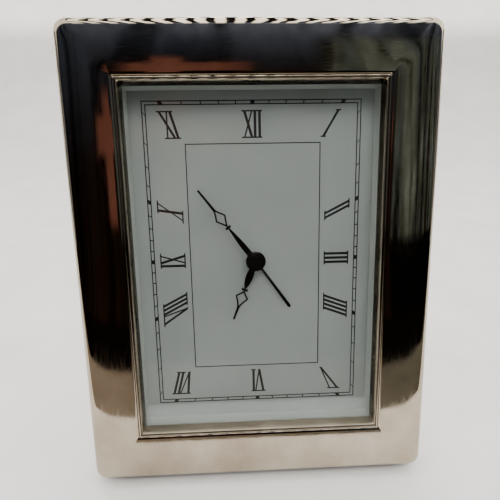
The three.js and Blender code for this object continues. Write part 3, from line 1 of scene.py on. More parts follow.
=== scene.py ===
"""Dresses a desk alarm clock in a leaning silver frame: fine surfaces, materials and a studio.

Places on the clock are given in millimetres in the dial's own leaned frame: x to the right, height
above the dial's centre, and depth behind the front of the window bead. standing() turns them into the
clock's standing frame in metres.
"""

import json
import math
import bmesh
import bpy
import numpy as np
from mathutils import Matrix, Vector

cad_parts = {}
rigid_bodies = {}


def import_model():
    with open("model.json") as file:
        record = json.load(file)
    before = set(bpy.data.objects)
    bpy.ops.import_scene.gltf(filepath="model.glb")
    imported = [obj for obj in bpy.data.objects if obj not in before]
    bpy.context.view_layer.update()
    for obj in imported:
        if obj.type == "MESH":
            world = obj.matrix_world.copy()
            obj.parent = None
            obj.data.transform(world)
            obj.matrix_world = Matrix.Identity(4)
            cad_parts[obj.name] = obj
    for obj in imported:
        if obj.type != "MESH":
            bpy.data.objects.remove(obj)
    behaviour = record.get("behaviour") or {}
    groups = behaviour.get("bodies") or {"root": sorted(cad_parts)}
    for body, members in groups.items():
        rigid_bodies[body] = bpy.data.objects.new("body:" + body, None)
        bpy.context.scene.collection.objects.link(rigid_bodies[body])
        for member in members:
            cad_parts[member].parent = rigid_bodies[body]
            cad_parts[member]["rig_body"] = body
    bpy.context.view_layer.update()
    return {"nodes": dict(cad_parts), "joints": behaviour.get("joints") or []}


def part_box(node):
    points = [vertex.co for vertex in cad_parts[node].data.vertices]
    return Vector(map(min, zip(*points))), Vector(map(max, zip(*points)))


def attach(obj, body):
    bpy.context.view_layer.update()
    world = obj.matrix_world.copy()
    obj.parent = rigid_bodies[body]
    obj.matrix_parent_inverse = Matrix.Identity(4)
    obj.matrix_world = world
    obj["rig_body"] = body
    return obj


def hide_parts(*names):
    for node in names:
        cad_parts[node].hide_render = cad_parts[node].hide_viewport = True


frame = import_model()
nodes = frame["nodes"]
joints = {joint["name"]: joint for joint in frame["joints"]}

# Camera: its place in the dial's frame, and degrees from looking straight at the dial
CAMERA_PLACE = (-7.729, 21.912, -131.764)
CAMERA_PAN = -2.259
CAMERA_TILT = -10.021
CAMERA_ROLL = -1.17
CAMERA_SENSOR = 36
CAMERA_LENS = 27.36
CAMERA_SHIFT = 0.0376

# Silver frame
LEAN = math.radians(14)
FRAME_WIDTH = 127
FRAME_HEIGHT = 163
FRAME_DEPTH = 17.5
FRAME_MIDDLE = -1.2  # height of the frame's middle over the dial's centre
CORNER_RADIUS = 4.5
CROWN_CORNER = 3.2  # corner radius that the crown keeps
SHARP_CORNER = 0.3  # corner radius of the bead and the lip
CORNER_EASE = 3  # width over which one passes into the other
SHEET = 0.6
SKIRT_START = 10
EDGE_RADIUS = 3
EDGE_POINTS = 14
CREST_INSET = 8.5
CREST_DEPTH = -0.37
CROWN_RADIUS = 46  # from the round edge to the crest
INNER_RADIUS = 90  # from the crest inwards
BORDER_WIDTH = 18
SLOPE_WIDTH = 1.2
SLOPE_FOOT = 1.25
BEAD_RADIUS = 0.4
GROOVE_WIDTH = 0.2
GROOVE_DEPTH = 0.5
RIDGE_EASE = 0.1
LIP_WIDTH = 0.8
LIP_DEPTH = 4.2
LIP_REAR = 4.6

# Dial and its printed markings
DIAL_FRONT = 12.6
DIAL_REAR = 13.6
DIAL_HALF = (46.5, 64.5)
DIAL_HOLE = 2.5
CASE_FRONT = 13.9
INK = 0.04
SERIF_INK = 0.036  # thinner than the strokes that it crosses, so that no two faces share a plane
TRACK_HALF = (39.55, 57.75)
TRACK_BAND = 1.6
TRACK_LINE = 0.38
TICK_LINE = 0.4
BLOCK_WIDTH = 1.55
PANEL_HALF = (24.75, 42.95)
PANEL_LINE = 0.36
NUMERAL_MARGIN = 1.9
NUMERAL_HEIGHT = 9.6
THICK_STROKE = 0.95
THIN_STROKE = 0.55
SERIF_REACH = 0.95
SERIF_LINE = 0.5

# Hands and their cap
HAND_THICKNESS = 0.3
HAND_EASE = 0.06
HUB_RADIUS = 3
KITE_LINE = 0.6
STEM_HALF = 0.32
NEEDLE_HALF = 0.5
ALARM_DEGREES = 144.8
ALARM_FRONT = 11.0
ALARM_HOLE = 2.35
ALARM_LENGTH = 22.3  # up to its tip
ALARM_TIP = 0.6
CAP_RADIUS = 3.7
CAP_EDGE = 0.35
CAP_FACE = 7.3
CAP_DOME = 0.12
CAP_REAR = 8.3
CAP_CHAMFER = 0.1
ARBOR_HOLE = 0.95

# Screw heads, as shares of the head's radius, its height or the shank's length
SLOT_HALF = 0.12
SLOT_FLOOR = 0.4
RIM_HEIGHT = 0.55
FACE_EDGE = 0.35
SHANK_STRAIGHT = 0.8
SHANK_TIP = 0.1  # in millimetres

# The hands' axis where it meets the case's front, and the directions across, up the dial and into it
CENTRE = np.array(joints["minute_hand_turn"]["pos_m"])
ACROSS = np.array([1.0, 0.0, 0.0])
UP = np.array([0.0, math.sin(LEAN), math.cos(LEAN)])
INTO = np.array([0.0, math.cos(LEAN), -math.sin(LEAN)])


def standing(points):
    """Takes (x, height, depth) in millimetres to the standing frame in metres."""
    points = np.asarray(points, float)
    x, height, depth = points[..., 0:1], points[..., 1:2], points[..., 2:3]
    return CENTRE + 0.001 * (x * ACROSS + height * UP + (depth - CASE_FRONT) * INTO)


def new_object(name, data):
    """Puts a mesh, a light or a camera into the scene."""
    made = bpy.data.objects.new(name, data)
    bpy.context.scene.collection.objects.link(made)
    return made


# Camera and stage

def photograph_camera():
    """The photographer's camera, a little above the dial's centre and very near. It looks straight
    at the dial, and is then panned, tilted and rolled."""
    camera = new_object("camera", bpy.data.cameras.new("camera"))
    camera.data.sensor_width = CAMERA_SENSOR
    camera.data.lens = CAMERA_LENS
    camera.data.shift_y = CAMERA_SHIFT
    camera.data.clip_start = 0.005
    turn = np.eye(3)
    for degrees, axis in ((CAMERA_PAN, "Y"), (CAMERA_TILT, "X"), (CAMERA_ROLL, "Z")):
        turn = turn @ np.array(Matrix.Rotation(math.radians(degrees), 3, axis))
    placed = np.eye(4)
    placed[:3, :3] = np.column_stack([ACROSS, UP, -INTO]) @ turn
    placed[:3, 3] = standing(CAMERA_PLACE)
    camera.matrix_world = Matrix(placed.tolist())
    bpy.context.scene.camera = camera


# Meshes from arrays

def grid(points, wrap_rows=False, wrap_columns=False, caps=False):
    """Points on a rows by columns grid joined by quads; wrapping closes a direction, and caps fill
    the first and last rows."""
    points = np.asarray(points, float)
    rows, columns = points.shape[:2]
    row = np.arange(rows if wrap_rows else rows - 1)[:, None]
    column = np.arange(columns if wrap_columns else columns - 1)[None, :]
    after_row = (row + 1) % rows
    after_column = (column + 1) % columns
    quads = np.stack([
        row * columns + column,
        row * columns + after_column,
        after_row * columns + after_column,
        after_row * columns + column,
    ], axis=-1).reshape(-1, 4)
    faces = quads.tolist()
    if caps:
        faces.append(list(range(columns))[::-1])
        faces.append(list(range((rows - 1) * columns, rows * columns)))
    return points.reshape(-1, 3), faces


def rings(*pairs):
    """Flat outlines of (x, height) points, each at its depth, as the rows of a grid."""
    return np.array([np.column_stack([outline, np.full(len(outline), depth)]) for outline, depth in pairs])


def turned(profile, place=(0, 0), sides=64):
    """A profile of (radius, depth) points turned about the line into the depth at a place."""
    profile = np.asarray(profile, float)
    angle = np.linspace(0, 2 * np.pi, sides, endpoint=False)
    points = np.stack([
        place[0] + profile[:, :1] * np.cos(angle),
        place[1] + profile[:, :1] * np.sin(angle),
        profile[:, 1:] + 0 * angle,
    ], axis=-1)
    return grid(points, wrap_columns=True)


def joined(parts):
    """Several (points, faces) pairs as one."""
    points, faces, start = [], [], 0
    for part_points, part_faces in parts:
        points.append(part_points)
        faces.extend([[start + corner for corner in face] for face in part_faces])
        start += len(part_points)
    return np.concatenate(points), faces


def dressed(name, mesh, material, body, node, sharp=35):
    """Makes a mesh a piece that rides on a body and stands for a CAD node. Its shading is smooth up
    to an angle in degrees."""
    mesh.materials.clear()
    mesh.materials.append(material)
    mesh.shade_smooth()
    mesh.set_sharp_from_angle(angle=math.radians(sharp))
    made = new_object(name, mesh)
    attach(made, body)
    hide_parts(node)
    return made


def piece(name, shape, material, body, node, uv=None, sharp=35):
    """A piece from points in the dial's frame, welded, with its faces outwards. uv gives each point a
    place in millimetres on the surface."""
    points, faces = shape
    mesh = bpy.data.meshes.new(name)
    mesh.from_pydata(standing(points).tolist(), [], faces)
    if uv is not None:
        corners = np.zeros(len(mesh.loops), np.int32)
        mesh.loops.foreach_get("vertex_index", corners)
        mesh.uv_layers.new(name="surface").data.foreach_set("uv", np.asarray(uv)[corners].ravel())
    work = bmesh.new()
    work.from_mesh(mesh)
    bmesh.ops.remove_doubles(work, verts=work.verts, dist=1e-6)
    bmesh.ops.recalc_face_normals(work, faces=work.faces)
    work.to_mesh(mesh)
    work.free()
    dressed(name, mesh, material, body, node, sharp)


def softened(node, width, material):
    """A CAD piece's own shape with its edges rounded over a width in millimetres: its triangles are
    merged into flat faces, the sharp edges are bevelled and the flat faces keep their shading."""
    mesh = nodes[node].data.copy()
    work = bmesh.new()
    work.from_mesh(mesh)
    bmesh.ops.remove_doubles(work, verts=work.verts, dist=1e-6)
    bmesh.ops.dissolve_limit(work, angle_limit=math.radians(1), verts=work.verts, edges=work.edges)
    work.to_mesh(mesh)
    work.free()
    made = dressed(node + "_finished", mesh, material, nodes[node]["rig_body"], node)
    bevel = made.modifiers.new("rounded_edges", "BEVEL")
    bevel.width = 0.001 * width
    bevel.segments = 2
    bevel.limit_method = "ANGLE"
    bevel.angle_limit = math.radians(40)
    made.modifiers.new("flat_faces", "WEIGHTED_NORMAL")


# Material tools

WAVE_SCALE = 0.31  # at this scale a wave texture has one band in each unit


def linear(code):
    """An sRGB hex colour as linear red, green, blue and full opacity."""
    channels = [int(code[start:start + 2], 16) / 255 for start in (1, 3, 5)]
    return [c / 12.92 if c <= 0.04045 else ((c + 0.055) / 1.055) ** 2.4 for c in channels] + [1.0]


def add(tree, kind, inputs=None, ramp=None, **settings):
    """Adds a node. inputs maps its sockets to values, to other sockets, or to nodes, whose first
    output is meant, and ramp lists the stops of a colour ramp as (place, colour)."""
    made = tree.nodes.new("ShaderNode" + kind)
    for name, value in settings.items():
        setattr(made, name, value)
    for socket, value in (inputs or {}).items():
        if isinstance(value, bpy.types.Node):
            value = value.outputs[0]
        if isinstance(value, bpy.types.NodeSocket):
            tree.links.new(value, made.inputs[socket])
        else:
            made.inputs[socket].default_value = value
    if ramp:
        stops = made.color_ramp.elements
        while len(stops) < len(ramp):
            stops.new(0.5)
        for stop, (place, code) in zip(stops, ramp):
            stop.position = place
            stop.color = linear(code)
    return made


def begin(name):
    """An empty material and its node tree."""
    material = bpy.data.materials.new(name)
    material.use_nodes = True
    material.node_tree.nodes.clear()
    return material, material.node_tree


def finish(tree, **sockets):
    """Ends a material with its surface shader. Plain values are set on the shader's own sockets, and
    other nodes' sockets are linked to them."""
    shader = add(tree, "BsdfPrincipled", {key.replace("_", " "): value for key, value in sockets.items()})
    add(tree, "OutputMaterial", {"Surface": shader})


def laid(tree, scale, turn=0.0, coordinates="Object"):
    """Coordinates in millimetres divided by the scale, one number or one for each axis, and turned
    about x first."""
    source = add(tree, "TexCoord").outputs[coordinates]
    unit = 1000.0 if coordinates == "Object" else 1.0
    upright = add(tree, "Mapping", {"Vector": source, "Rotation": (turn, 0, 0)})
    factors = tuple(unit / size for size in np.broadcast_to(scale, 3))
    return add(tree, "Mapping", {"Vector": upright, "Scale": factors})


# Materials

def polished_silver(edge, groove, ridge, rear, whole):
    """Silver sheet pressed over a former and hand polished for years: a near mirror with a warm
    tarnish in cloudy patches about 30 mm wide and dents too shallow to see but in its reflections.
    Hairline scratches 0.5 mm apart along each side smear them across the side, less so on the outer
    edge, which hands keep bright. The groove inside the bead and the inner face of the lip carry
    painted shade, dark in the groove and brown on the lip, but for the lip's low side, a ledge that
    faces the light, which keeps the clean colour and has dust that makes it rougher. Below 4 mm from
    the table the colour is scaled down to almost black, a painted contact shadow. edge, groove, ridge
    and rear are distances across the section in millimetres, out of the whole."""
    material, tree = begin("polished_silver")
    along = laid(tree, (7, 0.5, 1), coordinates="UV")
    hairs = add(tree, "TexNoise", {"Vector": along, "Scale": 1.0, "Detail": 3, "Roughness": 0.65})
    bloom = add(tree, "TexNoise", {"Vector": laid(tree, 30), "Scale": 1.0, "Detail": 5, "Roughness": 0.6})
    dents = add(tree, "TexNoise", {"Vector": laid(tree, 14), "Scale": 1.0, "Detail": 2})
    across = add(tree, "SeparateXYZ", {0: laid(tree, (1, whole, 1), coordinates="UV")}).outputs[1]
    level = add(tree, "SeparateXYZ", {0: add(tree, "TexCoord").outputs["Object"]}).outputs[2]

    clean = add(tree, "ValToRGB", {"Fac": bloom}, ramp=[
        (0.3, "#968a79"), (0.5, "#ada190"), (0.7, "#beb4a4")])
    # Painted shade: dark from 0.4 mm before the groove's bottom to 0.3 mm past it, and brown inside the lip
    dark = add(tree, "ValToRGB", {"Fac": across}, ramp=[
        ((groove - 0.7) / whole, "#ffffff"), ((groove - 0.4) / whole, "#241d17"),
        ((groove + 0.3) / whole, "#241d17"), (ridge / whole, "#ffffff"),
        ((ridge + 0.7) / whole, "#ffffff"), ((ridge + 1.2) / whole, "#8c7f6c"),
        (rear / whole, "#756754")])
    groove_and_lip_painted_shade = add(tree, "Mix", {0: 1.0, 6: clean, 7: dark}, data_type="RGBA", blend_type="MULTIPLY")
    # The lip's low side is what lies inside its ridge and less than 22 mm over the table. It faces the
    # light, so it keeps the clean colour without the painted shade
    above = add(tree, "MapRange", {"Value": level, "From Min": 0.022, "From Max": 0.027})
    inside = add(tree, "Math", {0: across, 1: ridge / whole}, operation="GREATER_THAN")
    ledge = add(tree, "Math", {0: inside, 1: above}, operation="SUBTRACT", use_clamp=True)
    shaded_except_lit_ledge = add(tree, "Mix", {0: ledge, 6: groove_and_lip_painted_shade.outputs[2], 7: clean}, data_type="RGBA").outputs[2]
    # Painted contact shadow: below 3 mm over the table the colour is scaled to 0.12, back to full by 4.5 mm
    under = add(tree, "MapRange", {"Value": level, "From Min": 0.003, "From Max": 0.0045, "To Min": 0.12})
    colour = add(tree, "VectorMath", {0: shaded_except_lit_ledge, 3: under}, operation="SCALE")

    soft = add(tree, "MapRange", {"Value": bloom, "To Min": 0.06, "To Max": -0.01})
    scratched = add(tree, "MapRange", {
        "Value": hairs, "From Min": 0.42, "From Max": 0.7, "To Min": 0.03, "To Max": 0.11})
    both = add(tree, "Math", {0: scratched, 1: soft}, operation="ADD")
    handled = add(tree, "MapRange", {
        "Value": across, "From Min": edge / whole, "From Max": (edge + 2) / whole,
        "To Min": 0.25, "To Max": 1.0})
    worn = add(tree, "Math", {0: both, 1: handled}, operation="MULTIPLY")
    rough = add(tree, "Math", {0: ledge, 1: 0.4, 2: worn}, operation="MULTIPLY_ADD")
    height = add(tree, "Math", {0: dents, 1: 27.0, 2: hairs}, operation="MULTIPLY_ADD")
    bump = add(tree, "Bump", {"Height": height, "Strength": 0.05, "Distance": 0.00003})
    finish(tree, Metallic=1.0, Base_Color=colour, Roughness=rough, Normal=bump)
    return material


def float_glass():
    """Float glass, as smooth as the molten tin that it sets on: clear, with a faint green."""
    material, tree = begin("float_glass")
    finish(tree, Base_Color=linear("#f8fcfa"), Roughness=0.0, IOR=1.5, Specular_IOR_Level=0.1,
           Transmission_Weight=1.0)
    return material


def mount_board():
    """White card spacer walls: matt, with the short fibres of pulp board."""
    material, tree = begin("mount_board")
    fibres = add(tree, "TexNoise", {"Vector": laid(tree, 0.5), "Scale": 1.0, "Detail": 5})
    colour = add(tree, "ValToRGB", {"Fac": fibres}, ramp=[(0.3, "#dfe2e0"), (0.7, "#eef0ee")])
    bump = add(tree, "Bump", {"Height": fibres, "Strength": 0.3, "Distance": 0.00005})
    finish(tree, Base_Color=colour, Roughness=0.85, Normal=bump)
    return material


def lacquered_dial():
    """A thin metal dial sprayed white: satin, slightly uneven in tone, with the fine grain of spray."""
    material, tree = begin("lacquered_dial")
    cloud = add(tree, "TexNoise", {"Vector": laid(tree, 25), "Scale": 1.0, "Detail": 3})
    spray = add(tree, "TexNoise", {"Vector": laid(tree, 0.25), "Scale": 1.0, "Detail": 2})
    colour = add(tree, "ValToRGB", {"Fac": cloud}, ramp=[(0.3, "#bbbfc0"), (0.7, "#c5c9ca")])
    bump = add(tree, "Bump", {"Height": spray, "Strength": 0.15, "Distance": 0.00002})
    finish(tree, Base_Color=colour, Roughness=0.42, Normal=bump)
    return material


def pad_printing_ink():
    """Black ink transferred by a pad: matt, with a slightly thin and uneven film."""
    material, tree = begin("pad_printing_ink")
    film = add(tree, "TexNoise", {"Vector": laid(tree, 0.8), "Scale": 1.0, "Detail": 3})
    colour = add(tree, "ValToRGB", {"Fac": film}, ramp=[(0.3, "#040405"), (0.8, "#0d0d0f")])
    finish(tree, Base_Color=colour, Roughness=0.6)
    return material


def black_lacquer():
    """Stamped brass hands dipped in black lacquer: dark and softly glossy, a little orange-peeled."""
    material, tree = begin("black_lacquer")
    peel = add(tree, "TexNoise", {"Vector": laid(tree, 0.4), "Scale": 1.0, "Detail": 2})
    colour = add(tree, "ValToRGB", {"Fac": peel}, ramp=[(0.3, "#040405"), (0.7, "#0a0a0b")])
    rough = add(tree, "MapRange", {"Value": peel, "To Min": 0.2, "To Max": 0.3})
    bump = add(tree, "Bump", {"Height": peel, "Strength": 0.15, "Distance": 0.00003})
    finish(tree, Base_Color=colour, Roughness=rough, Normal=bump)
    return material


def stained_mahogany(name, turn):
    """Planed mahogany, stained and waxed: brown bands 6 mm wide along the board, dark pores a few
    millimetres long, and a low wax shine that the pores break."""
    material, tree = begin(name)
    bands = add(tree, "TexNoise", {
        "Vector": laid(tree, (6, 6, 70), turn), "Scale": 1.0, "Detail": 4, "Distortion": 0.6})
    pores = add(tree, "TexNoise", {"Vector": laid(tree, (0.35, 0.35, 5), turn), "Scale": 1.0, "Detail": 3})
    brown = add(tree, "ValToRGB", {"Fac": bands}, ramp=[
        (0.25, "#3a1a0f"), (0.5, "#5b2c1a"), (0.75, "#744028")])
    dark = add(tree, "ValToRGB", {"Fac": pores}, ramp=[(0.36, "#5a4a42"), (0.46, "#ffffff")])
    both = add(tree, "Mix", {0: 1.0, 6: brown, 7: dark}, data_type="RGBA", blend_type="MULTIPLY")
    rough = add(tree, "MapRange", {
        "Value": pores, "From Min": 0.35, "From Max": 0.6, "To Min": 0.62, "To Max": 0.4})
    bump = add(tree, "Bump", {"Height": pores, "Strength": 0.4, "Distance": 0.0001})
    finish(tree, Base_Color=both.outputs[2], Roughness=rough, Normal=bump, Coat_Weight=0.15,
           Coat_Roughness=0.35)
    return material


def drawn_metal(name, dark, light, grain, low, high):
    """Sheet or bar metal as the rolls or the lathe left it: fine lines, spaced by the grain in
    millimetres along each axis, that blur its reflections and shade it between two tones."""
    material, tree = begin(name)
    lines = add(tree, "TexNoise", {"Vector": laid(tree, grain), "Scale": 1.0, "Detail": 3})
    colour = add(tree, "ValToRGB", {"Fac": lines}, ramp=[(0.3, dark), (0.7, light)])
    rough = add(tree, "MapRange", {"Value": lines, "To Min": low, "To Max": high})
    bump = add(tree, "Bump", {"Height": lines, "Strength": 0.2, "Distance": 0.00003})
    finish(tree, Metallic=1.0, Base_Color=colour, Roughness=rough, Normal=bump)
    return material


def moulded_plastic(name, dark, light, low, high, grain):
    """Injection-moulded plastic with the fine eroded texture of its tool: grains of a width in
    millimetres that break the light up, under a tone that drifts over 20 mm."""
    material, tree = begin(name)
    grains = add(tree, "TexNoise", {"Vector": laid(tree, grain), "Scale": 1.0, "Detail": 3})
    cloud = add(tree, "TexNoise", {"Vector": laid(tree, 20), "Scale": 1.0, "Detail": 2})
    colour = add(tree, "ValToRGB", {"Fac": cloud}, ramp=[(0.3, dark), (0.7, light)])
    rough = add(tree, "MapRange", {"Value": grains, "To Min": low, "To Max": high})
    bump = add(tree, "Bump", {"Height": grains, "Strength": 0.3, "Distance": 0.00005})
    finish(tree, IOR=1.49, Base_Color=colour, Roughness=rough, Normal=bump)
    return material


def wound_wire():
    """Enamelled copper wire wound side by side: round turns, drawn 0.25 mm wide so that they show."""
    material, tree = begin("enamelled_wire")
    turns = add(tree, "TexWave", {
        "Vector": laid(tree, (0.25, 1, 1)), "Scale": WAVE_SCALE}, bands_direction="X").outputs["Fac"]
    # Darker between the turns: painted shade in the creases between the round wires
    colour = add(tree, "ValToRGB", {"Fac": turns}, ramp=[(0.1, "#5a2c14"), (0.7, "#c2703a")])
    bump = add(tree, "Bump", {"Height": turns, "Strength": 0.6, "Distance": 0.0001})
    finish(tree, Metallic=1.0, Base_Color=colour, Roughness=0.3, Coat_Weight=0.6, Normal=bump)
    return material


def circuit_laminate():
    """Glass-fibre laminate under green solder mask: a fine cross weave and straight copper tracks."""
    material, tree = begin("circuit_laminate")
    tracks = add(tree, "TexWave", {
        "Vector": laid(tree, (2.6, 40, 40), LEAN), "Scale": WAVE_SCALE}, bands_direction="X").outputs["Fac"]
    weave = add(tree, "TexChecker", {
        "Vector": laid(tree, 0.5, LEAN), "Scale": 1.0,
        "Color1": linear("#1d4a31"), "Color2": linear("#235439")})
    lines = add(tree, "ValToRGB", {"Fac": tracks}, ramp=[(0.6, "#000000"), (0.66, "#ffffff")])
    colour = add(tree, "Mix", {0: lines, 6: weave, 7: linear("#3f7d4e")}, data_type="RGBA").outputs[2]
    bump = add(tree, "Bump", {"Height": lines, "Strength": 0.3, "Distance": 0.00004})
    finish(tree, Base_Color=colour, Roughness=0.35, Normal=bump)
    return material


def cell_sleeve():
    """A penlight cell's shrunk plastic sleeve, left plain: deep blue with a wide golden band near one
    end and bare steel at both ends, glossy and a little rippled."""
    low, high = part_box("battery")
    material, tree = begin("cell_sleeve")
    place = add(tree, "SeparateXYZ", {0: add(tree, "TexCoord").outputs["Object"]}).outputs[0]
    share = add(tree, "MapRange", {"Value": place, "From Min": low.x, "From Max": high.x})
    bands = add(tree, "ValToRGB", {"Fac": share}, ramp=[
        (0.0, "#b9bcc0"), (0.04, "#c8a24a"), (0.3, "#26386b"), (0.97, "#b9bcc0")])
    bands.color_ramp.interpolation = "CONSTANT"
    ripple = add(tree, "TexNoise", {"Vector": laid(tree, (8, 2, 2)), "Scale": 1.0, "Detail": 2})
    rough = add(tree, "MapRange", {"Value": ripple, "To Min": 0.25, "To Max": 0.4})
    bump = add(tree, "Bump", {"Height": ripple, "Strength": 0.2, "Distance": 0.0001})
    finish(tree, Base_Color=bands, Roughness=rough, Normal=bump, Coat_Weight=0.4,
           Coat_Roughness=0.1)
    return material


# Silver frame

def arc(centre, radius, start, end, count):
    """Points on an arc from one angle to another, both in radians."""
    angle = np.linspace(start, end, count)
    return np.column_stack([centre[0] + radius * np.cos(angle), centre[1] + radius * np.sin(angle)])


def quarter_ellipse(inset, depth, width, drop, count):
    """A quarter of an ellipse that starts level and ends upright: inset grows with the sine and
    depth with one minus the cosine of the same angle."""
    angle = np.linspace(0, np.pi / 2, count)[1:]
    return np.column_stack([inset + width * np.sin(angle), depth + drop * (1 - np.cos(angle))])


def border_line(offset, edge_count, crown_count):
    """The border's line: two points on the straight skirt, then the round edge and the crown's two
    arcs, all offset inwards. The arcs share a tangent where the line between their centres crosses
    them, and at the crest."""
    outer = (CREST_INSET, CREST_DEPTH + CROWN_RADIUS)
    inner = (CREST_INSET, CREST_DEPTH + INNER_RADIUS)
    edge_depth = outer[1] - math.sqrt((CROWN_RADIUS - EDGE_RADIUS) ** 2 - (CREST_INSET - EDGE_RADIUS) ** 2)
    tangent = 2 * np.pi + math.atan2(edge_depth - outer[1], EDGE_RADIUS - CREST_INSET)
    crest = 1.5 * np.pi
    end = crest + math.asin((BORDER_WIDTH - SLOPE_WIDTH - CREST_INSET) / INNER_RADIUS)
    return np.concatenate([
        [[offset, FRAME_DEPTH], [offset, SKIRT_START]],
        arc((EDGE_RADIUS, edge_depth), EDGE_RADIUS - offset, np.pi, tangent, edge_count),
        arc(outer, CROWN_RADIUS - offset, tangent, crest, crown_count)[1:],
        arc(inner, INNER_RADIUS - offset, crest, end, crown_count)[1:],
    ])


def bead_slope(start, count):
    """A parabola from the crown's end, level with it there, to upright at the bead's foot. Its
    control point lies where both tangents meet."""
    foot = np.array([BORDER_WIDTH, SLOPE_FOOT])
    fall = (start[0] - CREST_INSET) / (CREST_DEPTH + INNER_RADIUS - start[1])
    control = np.array([foot[0], start[1] + fall * (foot[0] - start[0])])
    share = np.linspace(0, 1, count)[1:, None]
    return (1 - share) ** 2 * start + 2 * share * (1 - share) * control + share ** 2 * foot


def silver_section():
    """The closed section of the pressed sheet, as (inset from the outer edge, depth) points, and the
    numbers of the points at the end of the round edge, in the groove, on the lip's ridge and at its
    rear."""
    outside = border_line(0, EDGE_POINTS, 15)
    bead = arc((BORDER_WIDTH + BEAD_RADIUS, BEAD_RADIUS), BEAD_RADIUS, np.pi, 2 * np.pi, 11)
    front = np.concatenate([outside, bead_slope(outside[-1], 14), bead])
    groove_end = BORDER_WIDTH + 2 * BEAD_RADIUS + GROOVE_WIDTH
    ridge = groove_end + RIDGE_EASE
    groove = [[groove_end - GROOVE_WIDTH / 2, GROOVE_DEPTH], [groove_end, RIDGE_EASE / 2], [ridge, 0]]
    lip = quarter_ellipse(ridge, 0, LIP_WIDTH - RIDGE_EASE, LIP_DEPTH, 12)
    inner = groove_end + LIP_WIDTH
    hidden = border_line(SHEET, 6, 5)
    back = [[inner, LIP_REAR], [BORDER_WIDTH - SHEET, LIP_REAR]]
    marks = (2 + EDGE_POINTS, len(front), len(front) + 2, len(front) + len(groove) + len(lip))
    return np.concatenate([front, groove, lip, back, hidden[::-1]]), marks


def round_the_frame(section):
    """Carries a section round a rounded rectangle. A point at an inset runs on the rectangle that
    lies that far in, whose corner radius is smaller by the inset, but stays soft over the crown and
    is never quite sharp. Points near each corner hold the straight runs flat."""
    inset = section[:, 0][:, None, None]
    crown_end = BORDER_WIDTH - SLOPE_WIDTH
    eased = np.interp(inset, [crown_end - CORNER_EASE, crown_end], [CROWN_CORNER, SHARP_CORNER])
    radius = np.maximum(CORNER_RADIUS - inset, eased)
    corner_x = FRAME_WIDTH / 2 - inset - radius
    corner_z = FRAME_HEIGHT / 2 - inset - radius
    quarter = np.arange(4)[None, :, None]
    angle = (quarter + np.linspace(0, 1, 9)[None, None, :]) * np.pi / 2
    sign_x = np.array([1, -1, -1, 1])[None, :, None]
    sign_z = np.array([1, 1, -1, -1])[None, :, None]
    corners = np.stack([
        sign_x * corner_x + radius * np.cos(angle),
        sign_z * corner_z + radius * np.sin(angle),
    ], axis=-1)
    share = np.array([0.004, 0.02, 0.1, 0.5, 0.9, 0.98, 0.996])[None, None, :, None]
    leaving = corners[:, :, -1:, :]
    arriving = np.roll(corners, -1, axis=1)[:, :, :1, :]
    runs = leaving + (arriving - leaving) * share
    ring = np.concatenate([corners, runs], axis=2).reshape(len(section), -1, 2)
    depth = np.broadcast_to(section[:, 1][:, None, None], ring.shape[:2] + (1,))
    return np.concatenate([ring, depth], axis=-1) + [0, FRAME_MIDDLE, 0]


def silver_frame():
    """The section carried round the frame. uv is the distance along it and across the section."""
    section, marks = silver_section()
    points = round_the_frame(section)
    # The last column repeats the first, so that the polish lines have an end of their own there
    points = np.concatenate([points, points[:, :1]], axis=1)
    step = np.linalg.norm(np.diff(points, axis=1), axis=-1).max(axis=0)
    along = np.concatenate([[0], np.cumsum(step)])
    across = np.concatenate([[0], np.cumsum(np.linalg.norm(np.diff(section, axis=0), axis=-1))])
    uv = np.stack(np.broadcast_arrays(along[None, :], across[:, None]), axis=-1).reshape(-1, 2)
    material = polished_silver(*across[list(marks)], across[-1])
    piece("silver_frame_pressing", grid(points, wrap_rows=True), material, "clock",
          "silver_frame", uv, sharp=28)


# Dial and its printed markings

def dial_plate(material):
    """A rectangle with a round hole: each point runs along its own ray from the hole's edge to the
    rectangle's, on the front and then back on the rear."""
    corner = math.atan2(DIAL_HALF[1], DIAL_HALF[0])
    turns = [-corner, corner, np.pi - corner, np.pi + corner, 2 * np.pi - corner]
    angle = np.concatenate([np.linspace(start, end, 13)[:-1] for start, end in zip(turns, turns[1:])])
    ray = np.column_stack([np.cos(angle), np.sin(angle)])
    reach = np.min(np.array(DIAL_HALF) / np.maximum(np.abs(ray), 1e-9), axis=1)[:, None]
    hole = ray * DIAL_HOLE
    edge = ray * reach + [0, FRAME_MIDDLE]
    points = rings((hole, DIAL_FRONT), (edge, DIAL_FRONT), (edge, DIAL_REAR), (hole, DIAL_REAR))
    piece("dial_face", grid(points, wrap_rows=True, wrap_columns=True), material, "clock",
          "dial_plate")


def on_rectangle(degrees, half):
    """Where the ray at a clock angle leaves a rectangle about the centre, the side's outward
    direction, and the direction along the side that reads clockwise."""
    ray = np.array([math.sin(math.radians(degrees)), math.cos(math.radians(degrees))])
    axis = 0 if abs(ray[0]) * half[1] > abs(ray[1]) * half[0] else 1
    out = np.zeros(2)
    out[axis] = np.sign(ray[axis])
    return ray * half[axis] / abs(ray[axis]), out, np.array([out[1], -out[0]])


def bar(start, end, along, width, film=INK):
    """A printed bar between two points, its ends cut along the side of the dial."""
    half = along * width / 2
    outline = [start - half, start + half, end + half, end - half]
    return grid(rings((outline, DIAL_FRONT - film), (outline, DIAL_FRONT)), wrap_columns=True, caps=True)


def rectangle_line(half, line):
    """A printed rectangle of four bars that meet at its corners."""
    x, z = half
    corners = np.array([[x, z], [-x, z], [-x, -z], [x, -z]], float)
    inner = corners - np.sign(corners) * line
    film = DIAL_FRONT - INK
    points = rings((corners, DIAL_FRONT), (corners, film), (inner, film), (inner, DIAL_FRONT))
    return grid(points, wrap_rows=True, wrap_columns=True)


